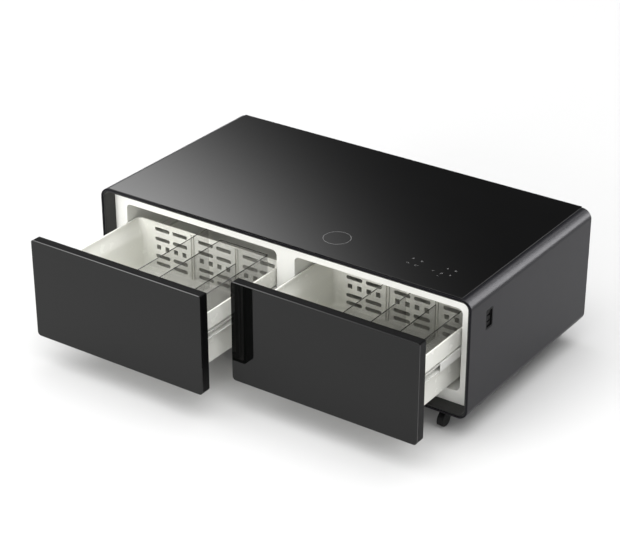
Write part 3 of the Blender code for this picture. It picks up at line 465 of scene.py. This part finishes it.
def rear_panel():
    """Rear panel: a pierced plate with a pressed hood over each slot, and its screws."""
    low, high = (np.array(c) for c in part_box("rear_panel"))
    x_lines = [-0.525, -0.395, -0.265, 0.02, 0.10, 0.265, 0.395, 0.525]
    pitch = 0.020
    centres = [down(0.078 + pitch * row) for row in range(10)][::-1]
    z_lines = [0.100, centres[0] - pitch / 2] + [z + pitch / 2 for z in centres]
    nx, nz = len(x_lines) - 1, len(z_lines) - 1
    columns = {-0.46: 0, -0.33: 1, 0.33: 5, 0.46: 6}
    skin = Skin()
    grid_points = np.stack(np.meshgrid(x_lines, z_lines), -1)
    faces = []
    for y in (low[1], high[1]):
        holes = [(row + 1, row + 2, column, column + 1, at(rounded(0.112, 0.007, 0.002, (x, z), steps=4), "Y", y))
                 for x, column in columns.items() for row, z in enumerate(centres)]
        holes.append((0, 1, 3, 4, at(rounded(0.0286, 0.0206, 0.003, INLET_CENTRE), "Y", y)))
        rings = np.insert(grid_points, 1, y, axis=2)
        grid, outlines = skin.sheet(rings, round_it=False, holes=holes)
        edge = np.concatenate([grid[0, :-1], grid[:-1, -1], grid[-1, 1:][::-1], grid[1:, 0][::-1]])
        outer = skin.add(at(body_outline(SHEET + 0.0006), "Y", y))
        skin.span(outer, edge, [0, nx, nx + nz, 2 * nx + nz])
        faces.append((outer, outlines))
    skin.join(faces[0][0], faces[1][0])
    for first, second in zip(faces[0][1], faces[1][1]):
        skin.join(first, second)
    # A hood stands out by a half sine along the slot's length and a quarter turn across it
    hood_width, hood_depth, hood_reach, hood_sheet = 0.114, 0.0031, 0.0090, 0.0007
    along = np.linspace(0, 1, 15)[None, :]
    across = np.radians(np.linspace(0, 90, 7))[:, None]
    swell = np.sin(np.pi * np.clip(along * 6, 0, 0.5)) * np.sin(np.pi * np.clip((1 - along) * 6, 0, 0.5))
    for x in columns:
        for z in centres:
            shells = []
            for thick in (0.0, hood_sheet):
                depth, reach = hood_depth - thick, hood_reach - thick
                rise = high[1] + 0.0001 + swell * depth * np.sin(across)
                height = z + 0.0050 - thick - reach * (1 - np.cos(across)) + 0 * along
                shells.append(np.stack([x - hood_width / 2 + hood_width * along + 0 * across, rise, height], -1))
            ring = [np.concatenate([shell[0], shell[1:-1, -1], shell[-1][::-1], shell[1:-1, 0][::-1]])
                    for shell in shells]
            for shell in shells:
                skin.sheet(shell, round_it=False)
            skin.sheet(ring)
    plate = piece("rear_panel_pressed", skin, STEEL, "cabinet", "black_steel", ["rear_panel"])
    heads = Skin()
    spots = [(sx * x, z) for sx in (-1, 1) for x, z in ((0.06, down(0.020)), (0.34, down(0.020)),
                                                        (0.60, down(0.040)), (0.60, down(0.200)),
                                                        (0.34, BOTTOM + 0.020), (0.58, BOTTOM + 0.030))]
    head = [(0.0010, 0.0012), (0.0014, 0.0022), (0.0024, 0.0021), (0.0036, 0.0012), (0.0040, 0.0002), (0.0040, 0.0)]
    for x, z in spots:
        heads.turn(head, (x, high[1] + 0.0002, z), "Y", 20)
    piece("rear_panel_screws", heads, ZINC, "cabinet", "zinc_steel")
    return plate


def power_inlet():
    """Mains inlet: a collar round a deep socket with three flat pins."""
    y_face = back(0.6990)
    rows = [((0.028, 0.020), back(0.668)), ((0.028, 0.020), back(0.6968)), ((0.050, 0.026), back(0.6968)),
            ((0.050, 0.026), y_face - 0.0008), ((0.0484, 0.0244), y_face), ((0.0238, 0.0163), y_face),
            ((0.0230, 0.0155), y_face - 0.0006), ((0.0230, 0.0155), back(0.680))]
    capped("power_inlet_housing", [at(rounded(*size, 0.003, INLET_CENTRE, 4), "Y", y) for size, y in rows],
           BLACK_PLASTIC, "cabinet", "black_plastic", "power_inlet")
    pins = Skin()
    for dx, dz in ((-0.007, -0.0015), (0.0, 0.0025), (0.007, -0.0015)):
        x, z = INLET_CENTRE[0] + dx, INLET_CENTRE[1] + dz
        pins.block((x - 0.001, back(0.678), z - 0.002), (x + 0.001, back(0.694), z + 0.002), 0.0004)
    piece("power_inlet_pins", pins, ZINC, "cabinet", "zinc_steel")


def side_socket():
    """Charging plate set in the right wall: a shallow well with two ports, each with its tongue."""
    face = WIDTH / 2
    well, deep = face - 0.004, face - 0.016
    skin = Skin()
    rows = [((0.0364, 0.0614), 0.0047, face - 0.026), ((0.0364, 0.0614), 0.0047, face - 0.0008),
            ((0.0348, 0.0598), 0.0040, face), ((0.0288, 0.0508), 0.0034, face),
            ((0.0280, 0.0500), 0.0030, face - 0.0008), ((0.0272, 0.0492), 0.0026, well)]
    grid, _ = skin.sheet([at(rounded(*size, r, SOCKET_CENTRE), "X", x) for size, r, x in rows], (True, False))
    y, z = SOCKET_CENTRE
    frame_lines = np.stack(np.meshgrid([y - 0.011, y + 0.011], [z - 0.018, z + 0.0005, z + 0.019]), -1)

    def port(dz, depth):
        return at(rounded(PORT_WIDTH, PORT_HEIGHT, 0.001, (y, z + dz), 4), "X", depth)

    plate, outlines = skin.sheet(np.insert(frame_lines, 0, well, axis=2), round_it=False,
                                 holes=[(row, row + 1, 0, 1, port(dz, well)) for row, dz in enumerate(PORT_PLACES)])
    edge = np.array([plate[0, 0], plate[0, 1], plate[1, 1], plate[2, 1], plate[2, 0], plate[1, 0]])
    skin.span(grid[-1], edge, [0, 1, 3, 4])
    for outline, dz in zip(outlines, PORT_PLACES):
        floor = skin.add(port(dz, deep))
        skin.join(outline, floor)
        skin.faces.append(floor.tolist())
    piece("side_socket_plate", skin, FRONT_BLACK, "cabinet", "black_plastic", ["side_socket"])
    tongues = Skin()
    for dz in PORT_PLACES:
        tongues.block((deep - 0.001, y - 0.0055, z + dz + 0.0002), (well - 0.0015, y + 0.0055, z + dz + 0.0020),
                      0.0003)
    piece("side_socket_tongues", tongues, PAD, "cabinet", "black_plastic")


def light_bars():
    """A round-edged diffuser under the ceiling of each cavity."""
    for name in ("left", "right"):
        low, high = (np.array(c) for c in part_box(f"light_bar_{name}"))
        rows = [(0.0, high[2]), (0.0, low[2] + 0.004), (0.0008, low[2] + 0.0020), (0.0022, low[2] + 0.0006),
                (0.0040, low[2])]
        capped(f"light_diffuser_{name}", upright(low, high, 0.0066, 8, rows), DIFFUSER, "cabinet", "light_bar",
               f"light_bar_{name}")


# The prints on the glass


def ribbon(skin, points, width, z, closed=False):
    """A flat printed line: at each point of a path in x and y its width is laid out across the path."""
    points = np.asarray(points, float)
    if closed:
        way = np.roll(points, -1, 0) - np.roll(points, 1, 0)
    else:
        way = np.gradient(points, axis=0)
    way /= np.linalg.norm(way, axis=1)[:, None]
    across = np.stack([-way[:, 1], way[:, 0]], 1) * width / 2
    levels = ((points + across, z), (points - across, z), (points - across, z - 0.00005),
              (points + across, z - 0.00005))
    rings = np.stack([at(outline, "Z", level) for outline, level in levels], 1)
    skin.sheet(rings, (not closed, not closed), loop=closed)


def bar(start, end):
    """Points of a short straight line."""
    return np.linspace(start, end, 3)


def icon_lines():
    """Line drawings of ten plain touch keys, each about 8 mm across: a list of paths per key."""
    star = [bar((0, 0), (4 * math.cos(a), 4 * math.sin(a))) for a in np.radians(range(0, 360, 60))]
    rays = [bar((2.6 * math.cos(a), 2.6 * math.sin(a)), (3.9 * math.cos(a), 3.9 * math.sin(a)))
            for a in np.radians(range(0, 360, 45))]
    bolt = np.array([(0.8, 4), (-1.6, 0), (0.1, 0), (-0.8, -4), (1.8, 0.6), (0.2, 0.6), (0.8, 4)], float)
    return [
        [arc(3.4, -50, 230), bar((0, 1.4), (0, 4.2))],
        star,
        [arc(1.5, 0, 360, steps=20), *rays],
        [arc(3.6, 100, 350)[:-3], arc(3.6, 250, 430, (2.0, 1.6), 10)[4:9]],
        [bar((-3, 0), (3, 0)), bar((0, -3), (0, 3))],
        [bar((-3, 0), (3, 0))],
        [arc(1.8, 0, 180, (0, 0.8)), bar((-2.8, 0.8), (2.8, 0.8)), bar((-2.8, 0.8), (-2.8, -3.4)),
         bar((2.8, 0.8), (2.8, -3.4)), bar((-2.8, -3.4), (2.8, -3.4))],
        [bar(a, b) for a, b in zip(bolt, bolt[1:])],
        [bar((-3.4, -1.2), (-3.4, 1.2)), bar((-3.4, 1.2), (-1.4, 1.2)), bar((-3.4, -1.2), (-1.4, -1.2)),
         bar((-1.4, 1.2), (0.8, 3.2)), bar((-1.4, -1.2), (0.8, -3.2)), bar((0.8, 3.2), (0.8, -3.2)),
         arc(3.6, -35, 35, (-0.6, 0))],
        [bar((-1.2, -3.8), (1.4, -1.0)), bar((1.4, -1.0), (-1.6, 1.8)), bar((-1.2, 3.8), (1.4, 1.0)),
         bar((1.4, 1.0), (-1.6, -1.8)), bar((-1.2, -3.8), (-1.2, 3.8))],
    ]


def glass_prints():
    """The charging circle and the touch keys, printed on the glass."""
    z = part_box("top_glass")[1].z
    circle_line, key_line = 0.0011, 0.0008
    skin = Skin()
    ribbon(skin, circle(0.0405, (0.1386, back(0.1131)), 24), circle_line, z, closed=True)
    places = ((0.387, 0.097), (0.386, 0.128), (0.416, 0.126), (0.414, 0.096), (0.470, 0.096), (0.496, 0.077),
              (0.498, 0.095), (0.498, 0.128), (0.524, 0.128), (0.524, 0.098))
    for (x, y), paths in zip(places, icon_lines()):
        for path in paths:
            ribbon(skin, path * 0.001 + (x, back(y)), key_line, z)
    piece("glass_prints", skin, INK, "cabinet", None, weld=0.000001)


# The drawers


def front_place(side):
    """Middle of a drawer's front, and its face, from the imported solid."""
    front_low, front_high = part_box(f"front_glass_{side}")
    return (front_low.x + front_high.x) / 2, front_low.y


def front_outline(centre_x, inset):
    """Outline of a drawer front, its lower corners rounder than its upper ones."""
    radii = np.maximum(np.array((0.012, 0.012, 0.005, 0.005)) - inset, 0.002)
    return rounded(FRONT_WIDTH - 2 * inset, FRONT_HEIGHT - 2 * inset, radii, (centre_x, FRONT_MIDDLE))


def drawer_front(side):
    """Glass face with a polished arris, deep frame, dished inner panel and bellows gasket."""
    body = f"drawer_{side}"
    x, y = front_place(side)
    rows = [(0.0005, 0.0), (0.0002, 0.0001), (0.0, 0.0005), (0.0, 0.0046), (0.0004, 0.0050)]
    capped(f"front_glass_panel_{side}", [at(front_outline(x, i), "Y", y + d) for i, d in rows], FRONT_GLASS, body,
           "front_glass", f"front_glass_{side}", sharp=25)

    rows = [(0.0012, 0.0053), (0.0004, 0.0061), (0.0004, 0.0324), (0.0010, 0.0336), (0.0022, 0.0340),
            (0.0094, 0.0340), (0.0100, 0.0334), (0.0100, 0.0110)]
    capped(f"front_frame_moulded_{side}", [at(front_outline(x, i), "Y", y + d) for i, d in rows], FRONT_BLACK, body,
           "front_black", f"front_frame_{side}")

    def inner(inset, radius):
        return rounded(FRONT_WIDTH - 2 * inset, FRONT_HEIGHT - 2 * inset, radius, (x, FRONT_MIDDLE))

    rows = [(0.0103, 0.0057, 0.0113), (0.0103, 0.0057, 0.0335), (0.0108, 0.0060, 0.0340), (0.0150, 0.010, 0.0340),
            (0.0150, 0.010, 0.0312), (0.0328, 0.007, 0.0312), (0.0328, 0.007, 0.0336), (0.0334, 0.007, 0.0340),
            (0.0500, 0.014, 0.0340), (0.0560, 0.018, 0.0322), (0.0600, 0.020, 0.0310)]
    capped(f"inner_panel_moulded_{side}", [at(inner(i, r), "Y", y + d) for i, r, d in rows], LINER_WHITE, body,
           "white_plastic", f"inner_panel_{side}")

    section = [(0.0185, 0.0315), (0.0170, 0.0345), (0.0178, 0.0362), (0.0196, 0.0372), (0.0178, 0.0384),
               (0.0171, 0.0400), (0.0171, 0.0444), (0.0182, 0.0455), (0.0288, 0.0455), (0.0299, 0.0444),
               (0.0299, 0.0400), (0.0290, 0.0384), (0.0274, 0.0372), (0.0290, 0.0362), (0.0299, 0.0345),
               (0.0285, 0.0315)]
    skin = Skin()
    skin.sheet([at(inner(i, max(0.004, 0.024 - i * 0.6)), "Y", y + d) for i, d in section], loop=True)
    piece(f"gasket_bellows_{side}", skin, SEAL, body, "seal_rubber", [f"gasket_{side}"], sharp=60)


SLOT_COLUMNS = (-0.185, -0.117, -0.018, 0.050, 0.149, 0.212)
SLOT_ROWS = (0.146, 0.179, 0.238, 0.264)
SLOT_REACH, SLOT_RISE = 0.031, 0.009
HOLE_COLUMNS = (-0.200, -0.167, -0.134, -0.101, -0.034, 0.0, 0.033, 0.066, 0.133, 0.167, 0.197, 0.229)
WALL_STOPS = sorted(x + d for x in SLOT_COLUMNS for d in (-SLOT_REACH, 0.0, SLOT_REACH))


def tub_ring(x, front, rear, half, radius, z):
    """One level of the tub: along the back wall past its stops, then round the other three walls."""
    parts = [np.stack([x + np.array(WALL_STOPS[::-1]), np.full(len(WALL_STOPS), rear)], 1)]
    for sx, y, start in ((-1, rear - radius, 90), (-1, front + radius, 180), (1, front + radius, 270),
                         (1, rear - radius, 0)):
        parts.append(arc(radius, start, start + 90, (x + sx * (half - radius), y), 8))
    return at(np.concatenate(parts), "Z", z)


def drawer_tub(side):
    """Moulded tub: levels run up its outer walls, over the rim and down inside to the floor.

    It is wide above the slides and narrow beside them. Slots and square holes go through the back wall.
    """
    body = f"drawer_{side}"
    low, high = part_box(f"drawer_tub_{side}")
    x, front, rear, wall = (low.x + high.x) / 2, low.y, high.y, 0.0035
    wide, narrow = 0.2775, 0.259
    levels = []
    for t in np.radians((90, 60, 30, 0)):
        drop = 0.006 * (1 - math.cos(t))
        levels.append((narrow - drop, drop, 0.016, 0.296 + 0.006 * math.sin(t)))
    levels += [(narrow, 0, 0.016, z) for z in (0.2855, 0.273, 0.255, 0.247, 0.229, 0.218, 0.196, 0.188, 0.1775)]
    levels += [(narrow + 0.0012, 0, 0.0165, 0.1763), (wide - 0.001, 0, 0.0198, 0.1757), (wide, 0, 0.020, 0.1745)]
    levels += [(wide, 0, 0.020, z) for z in (0.170, 0.155, 0.137, 0.1238)]
    levels += [(wide - 0.0005, 0.0005, 0.0195, 0.1225), (wide - 0.00175, 0.00175, 0.01825, 0.1220),
               (wide - 0.0030, 0.0030, 0.017, 0.1225)]
    outer_count = len(levels)
    inner_narrow = narrow - wall
    levels += [(wide - 0.0050, 0.0050, 0.015, 0.1222), (wide - 0.0060, 0.0058, 0.0145, 0.1232),
               (wide - 0.0063, 0.0054, 0.0145, 0.1252), (wide - 0.0068, wall, 0.0155, 0.1285)]
    # The sides draw in on a slow curve, half a cosine wave from under the rim to the slides
    for t in np.linspace(0.1, 1.0, 8):
        levels.append((inner_narrow + 0.0152 * (0.5 + 0.5 * math.cos(math.pi * t)), wall, 0.0155 - 0.002 * t,
                       0.1285 + 0.0500 * t))
    levels += [(inner_narrow, wall, 0.0130, z) for z in (0.188, 0.196, 0.218, 0.229, 0.247, 0.255, 0.273, 0.2755)]
    for t in np.radians((30, 60, 90)):
        drop = 0.007 * (1 - math.cos(t))
        levels.append((inner_narrow - drop, wall + drop, 0.0130, 0.2755 + 0.007 * math.sin(t)))
    rings = [tub_ring(x, front + i, rear - i, half, r, down(d)) for half, i, r, d in levels]
    depths = [d for _, _, _, d in levels]
    count = len(WALL_STOPS)

    def row(depth, inside):
        choice = range(outer_count, len(levels)) if inside else range(outer_count)
        return min(choice, key=lambda number: abs(depths[number] - depth))

    def column(offset):
        return count - 1 - int(np.argmin(np.abs(np.array(WALL_STOPS) - offset)))

    cuts = [(z - SLOT_RISE, z + SLOT_RISE, c - SLOT_REACH, c + SLOT_REACH,
             rounded(0.056, 0.013, 0.0060, (x + c, down(z)), 6)) for c in SLOT_COLUMNS for z in SLOT_ROWS]
    for number, c in enumerate(HOLE_COLUMNS):
        middle = SLOT_COLUMNS[number // 2]
        first, last = (middle - SLOT_REACH, middle) if number % 2 == 0 else (middle, middle + SLOT_REACH)
        cuts.append((0.196, 0.218, first, last, rounded(0.016, 0.016, 0.0015, (x + c, down(0.207)), 4)))
    holes = []
    for inside, y in ((False, rear), (True, rear - wall)):
        for upper, lower, first, last, outline in cuts:
            rows = sorted((row(upper, inside), row(lower, inside)))
            columns = sorted((column(first), column(last)))
            holes.append((*rows, *columns, at(outline, "Y", y)))
    skin = Skin()
    _, outlines = skin.sheet(rings, (True, True), holes=holes)
    for outside, inside in zip(outlines[:len(cuts)], outlines[len(cuts):]):
        skin.join(outside, inside)
    for rib in (-0.072, -0.063, 0.095, 0.104):
        skin.block((x + rib - 0.0015, rear - 0.0085, down(0.2845)), (x + rib + 0.0015, rear - 0.0025, down(0.127)),
                   0.0007)
    piece(f"tub_moulded_{side}", skin, TUB_WHITE, body, "tub_white", [f"drawer_tub_{side}"], sharp=45)


def drawer_inserts(side):
    """Smoked acrylic: an open tray on the ledge and a rack of dividers on the floor."""
    body = f"drawer_{side}"
    low, high = (np.array(c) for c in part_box(f"upper_tray_{side}"))
    # The top lip of each sheet is left to dark rim strips, which carry painted shade along the edges
    lip = 0.0015
    top = high[2] - lip
    rows = [(0.0010, low[2]), (0.0, low[2] + 0.0010), (0.0, top), (0.0030, top), (0.0030, low[2] + 0.0042),
            (0.0042, low[2] + 0.0030)]
    capped(f"tray_clear_{side}", upright(low, high, 0.006, 6, rows), SMOKED, body, "smoked_acrylic",
           f"upper_tray_{side}")
    rows = [(0.0, top + 0.0001), (0.0, high[2] - 0.0005), (0.0005, high[2]), (0.0025, high[2]),
            (0.0030, high[2] - 0.0005), (0.0030, top + 0.0001)]
    edges = Skin()
    edges.sheet(upright(low, high, 0.006, 6, rows), loop=True)

    low, high = (np.array(c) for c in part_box(f"divider_rack_{side}"))
    _, y = front_place(side)
    shelf = down(0.1719)
    skin = Skin()
    for start, end, crest in (((low[0], low[1]), (low[0] + 0.003, high[1]), high[2]),
                              ((high[0] - 0.003, low[1]), (high[0], high[1]), shelf),
                              ((low[0] + 0.0031, y + 0.215), (high[0] - 0.0031, y + 0.218), shelf + 0.0095)):
        skin.block((*start, low[2]), (*end, crest - lip), 0.0002)
        # Dark rim strip on each divider: partly tint, partly painted shade
        edges.block((*start, crest - lip + 0.0001), (*end, crest), 0.0004)
    piece(f"dividers_clear_{side}", skin, SMOKED, body, "smoked_acrylic", [f"divider_rack_{side}"])
    # The rim strips carry painted shade along the acrylic's top edges
    piece(f"acrylic_rims_painted_shade_{side}", edges, SMOKED_EDGE_PAINTED_SHADE, body, "smoked_acrylic")


def slide_section(low, high, side, thickness, bend):
    """Section of a slide member: a spine with a lip along its top and bottom, bent on a radius.

    side is +1 where the spine lies at high x. The outer run goes round the channel and the inner run
    comes back one thickness inside it.
    """
    (x0, z0), (x1, z1) = low, high
    spine, reach = (x1, x0) if side > 0 else (x0, x1)
    outer, inner = [], []
    for corner_z, way, angles in ((z0, 1, (270, 360)), (z1, -1, (0, 90))):
        t = np.radians(np.linspace(*angles, 5))
        for radius, target in ((bend, outer), (bend - thickness, inner)):
            radius = max(radius, 0.0001)
            centre = (spine - side * bend, corner_z + way * bend)
            target.append(np.stack([centre[0] + side * radius * np.cos(t), centre[1] + radius * np.sin(t)], 1))
    tips = [(reach, z0), (reach, z1)]
    lip = [(reach, z1 - thickness), (reach, z0 + thickness)]
    return np.concatenate([[tips[0]], *outer, [tips[1]], [lip[0]], *[part[::-1] for part in inner[::-1]],
                           [lip[1]]])


def slide(drawer, hand):
    """One telescopic slide: three folded channels that run in each other, each a section drawn along Y."""
    for member, body, thickness in (("outer", "cabinet", 0.0013),
                                    ("middle", f"slide_middle_{drawer}_{hand}", 0.0013),
                                    ("inner", f"drawer_{drawer}", 0.0016)):
        node = f"slide_{member}_{drawer}_{hand}"
        low, high = (np.array(c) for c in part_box(node))
        side = (1 if hand == "r" else -1) * (-1 if member == "inner" else 1)
        section = slide_section((low[0], low[2]), (high[0], high[2]), side, thickness, 0.0028)
        rings = [at(section, "Y", y) for y in (low[1], (low[1] + high[1]) / 2, high[1])]
        capped(f"rail_{member}_{drawer}_{hand}", rings, RAIL, body, "zinc_steel", node)


# The casters


def caster(name):
    """Swivel caster: pressed plate with screws, bearing, hooded fork, axle and a treaded wheel."""
    low, high = (np.array(c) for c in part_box(f"caster_plate_{name}"))
    x, y = (low[:2] + high[:2]) / 2
    plate_size, screw_reach, foot_radius = 0.058, 0.0225, 0.007
    skin = Skin()
    skin.sheet(slab(lambda i: rounded(plate_size - 2 * i, plate_size - 2 * i, 0.008 - i, (x, y), 6),
                    high[2] - 0.0030, high[2], "Z", 0.0008, 3), (True, True))
    skin.turn([(0.0162, high[2] - 0.0028), (0.0160, high[2] - 0.0045), (0.0150, high[2] - 0.0060),
               (0.0150, low[2] + 0.0005), (0.0145, low[2])], (x, y, 0), "Z", 40)
    for sx in (-1, 1):
        for sy in (-1, 1):
            skin.turn([(0.0040, high[2] - 0.0028), (0.0040, high[2] - 0.0050), (0.0034, high[2] - 0.0058)],
                      (x + sx * screw_reach, y + sy * screw_reach, 0), "Z", 6)
    piece(f"caster_plate_pressed_{name}", skin, ZINC, "cabinet", "zinc_steel", [f"caster_plate_{name}"])

    wheel_low, wheel_high = (np.array(c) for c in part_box(f"caster_wheel_{name}"))
    axle = (wheel_low + wheel_high) / 2
    radius, half, outer = 0.024, 0.007, 0.0102
    side = [(0.0005, outer + 0.0004), (0.0030, outer + 0.0004), (0.0038, outer - 0.0002), (0.0038, half + 0.0004),
            (0.0060, half + 0.0002), (0.0066, half - 0.0006), (0.0140, half - 0.0016), (0.0158, half - 0.0008),
            (0.0166, half - 0.0020), (0.0172, half - 0.0006), (0.0196, half - 0.0001), (0.0218, half - 0.0004)]
    tread = [(radius - 0.0012, half - 0.0014), (radius - 0.0005, half - 0.0026), (radius - 0.0001, half - 0.0044),
             (radius, half - 0.0060)]
    profile = side + tread
    profile += [(r, -h) for r, h in reversed(profile)]
    skin = Skin()
    skin.turn(profile, axle, "X", 72)
    piece(f"caster_wheel_treaded_{name}", skin, RUBBER, f"caster_wheel_{name}", "wheel_rubber",
          [f"caster_wheel_{name}"])

    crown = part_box(f"caster_fork_{name}")[1].z
    inner = half + 0.0008
    hood = radius + 0.0035
    neck = np.array([(y - 0.015, crown), (y + 0.015, crown), (y + 0.016, crown - 0.006), (y + 0.008, 0.030)])
    over, under = (arc(r, 200, 90, axle[1:], 15) for r in (hood, hood - 0.0020))
    foot = arc(foot_radius, 225, 315, axle[1:], 6)
    cheek = np.concatenate([foot, neck[::-1], over[::-1]])
    skin = Skin()
    for sign in (-1, 1):
        edges = sorted((axle[0] + sign * inner, axle[0] + sign * outer))
        skin.sheet([at(cheek, "X", edges[0]), at(cheek, "X", edges[1])], (True, True))
    bridge = np.concatenate([over, neck[:2], [(y + 0.0155, crown - 0.003)], under[::-1]])
    skin.sheet([at(bridge, "X", axle[0] - inner - 0.0004), at(bridge, "X", axle[0] + inner + 0.0004)], (True, True))
    piece(f"caster_fork_hooded_{name}", skin, CASTER_BLACK, f"caster_swivel_{name}", "caster_black",
          [f"caster_fork_{name}"], bevel=0.0005)


# The finishes of the solids that stay as they are

KEPT = {"foam_insulation": FOAM, "compressor_tray": ZINC, "compressor": ENAMEL, "condenser_coil": ENAMEL,
        "fan_frame": BLACK_PLASTIC, "fan_rotor": BLACK_PLASTIC, "power_board": BOARD, "filter_drier": COPPER,
        "evaporator_left": COLD_PLATE, "evaporator_right": COLD_PLATE, "touch_board": BOARD, "charging_pad": PAD}

for node, look in KEPT.items():
    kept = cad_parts[node]
    kept.data.materials.clear()
    kept.data.materials.append(look)

shell = steel_body()
glass_top()
recess_lining()
liner()
back_plate = rear_panel()
power_inlet()
side_socket()
light_bars()
glass_prints()
for drawer in ("left", "right"):
    drawer_front(drawer)
    drawer_tub(drawer)
    drawer_inserts(drawer)
    for hand in ("l", "r"):
        slide(drawer, hand)
for row in ("front", "rear"):
    for hand in ("left", "right"):
        caster(f"{row}_{hand}")

# The studio

floor_skin = Skin()
floor_lines = np.linspace(-14, 14, 8)
floor_skin.sheet(np.insert(np.stack(np.meshgrid(floor_lines, floor_lines), -1), 2, 0.0, axis=2), round_it=False)
floor_mesh = bpy.data.meshes.new("studio_floor")
floor_mesh.from_pydata(floor_skin.points.tolist(), [], floor_skin.faces)
floor_mesh.materials.append(finish("studio_paper", (0.54, 0.54, 0.54), 0.9, mottle=0.01, mottle_scale=0.5))
floor = bpy.data.objects.new("studio_floor", floor_mesh)
bpy.context.scene.collection.objects.link(floor)


def area_light(name, place, target, size, power, only=None):
    """A soft light at a place, turned towards a target. It may fall on one piece only."""
    lamp = bpy.data.lights.new(name, "AREA")
    lamp.shape = "RECTANGLE"
    lamp.size, lamp.size_y = size
    lamp.energy = power
    made = bpy.data.objects.new(name, lamp)
    made.location = place
    made.rotation_euler = (Vector(target) - Vector(place)).to_track_quat("-Z", "Y").to_euler()
    made.visible_camera = False
    made.visible_glossy = only is not None
    if only is not None:
        receivers = bpy.data.collections.new(name + "_receivers")
        receivers.objects.link(only)
        made.light_linking.receiver_collection = receivers
    bpy.context.scene.collection.objects.link(made)


area_light("front_soft", (-0.6, -4.8, 1.7), (0.0, 0.0, 0.3), (3.0, 1.8), 205)
area_light("edge_soft", (2.84, 2.88, 1.92), (0.64, 0.0, 0.42), (2.0, 2.8), 215, shell)
area_light("edge_fill", (1.35, 2.88, 3.10), (0.64, 0.0, 0.42), (2.2, 1.6), 46, shell)
area_light("back_soft", (0.0, 4.4, 2.2), (0.0, 0.35, 0.25), (3.2, 1.8), 200, back_plate)


def studio_world():
    """A bright ceiling and front half, a pale horizon, a dim band at the back and one soft glow in it.

    The glow's brightness is e to the power of minus the squares of its distances along and across the
    line that it lies on, each with a factor.
    """
    world = bpy.data.worlds.new("studio")
    bpy.context.scene.world = world
    world.use_nodes = True
    nodes, links = world.node_tree.nodes, world.node_tree.links
    background = nodes["Background"]
    direction = nodes.new("ShaderNodeTexCoord").outputs["Generated"]

    def dot(vector):
        node = nodes.new("ShaderNodeVectorMath")
        node.operation = "DOT_PRODUCT"
        links.new(direction, node.inputs[0])
        node.inputs[1].default_value = vector
        return node.outputs["Value"]

    def number(operation, *values):
        node = nodes.new("ShaderNodeMath")
        node.operation = operation
        for socket, value in zip(node.inputs, values):
            if hasattr(value, "is_linked"):
                links.new(value, socket)
            else:
                socket.default_value = value
        return node.outputs["Value"]

    def step(value, low, high, at_low, at_high):
        node = nodes.new("ShaderNodeMapRange")
        node.interpolation_type = "SMOOTHSTEP"
        links.new(value, node.inputs["Value"])
        for socket, amount in zip(("From Min", "From Max", "To Min", "To Max"), (low, high, at_low, at_high)):
            node.inputs[socket].default_value = amount
        return node.outputs["Result"]

    up = dot((0, 0, 1))
    ahead = dot((-0.570, 0.822, 0))
    along = number("SUBTRACT", dot((0.698, 0.484, 0.528)), 0.1662)
    across = number("SUBTRACT", dot((-0.434, -0.301, 0.849)), 0.4421)
    power = number("ADD", number("MULTIPLY", number("MULTIPLY", along, along), -85.3),
                   number("MULTIPLY", number("MULTIPLY", across, across), -300.6))
    glow = number("MULTIPLY", number("EXPONENT", power), step(ahead, 0.10, 0.45, 0.0, 3.4))
    horizon = step(up, 0.02, 0.30, 1.02, 0.055)
    ceiling = step(up, 0.66, 0.86, 0.0, 3.0)
    front = number("MULTIPLY", step(ahead, -0.25, 0.05, 1.1, 0.0), step(up, 0.12, 0.45, 0.0, 1.0))
    light = number("ADD", number("ADD", glow, horizon), number("ADD", ceiling, front))
    links.new(light, background.inputs["Strength"])
    background.inputs["Color"].default_value = (1, 1, 1, 1)


studio_world()

# The camera, as fitted to the photograph
lens = bpy.data.cameras.new("studio_camera")
lens.lens = 109.01
lens.sensor_width = 36
lens.clip_start, lens.clip_end = 0.1, 60
camera = bpy.data.objects.new("studio_camera", lens)
camera.location = (2.81685, -4.06023, 2.82995)
camera.rotation_euler = (math.pi / 2 - 0.48294, 0.00053, 0.60652)
bpy.context.scene.collection.objects.link(camera)
bpy.context.scene.camera = camera
bpy.context.scene.view_settings.view_transform = "Standard"
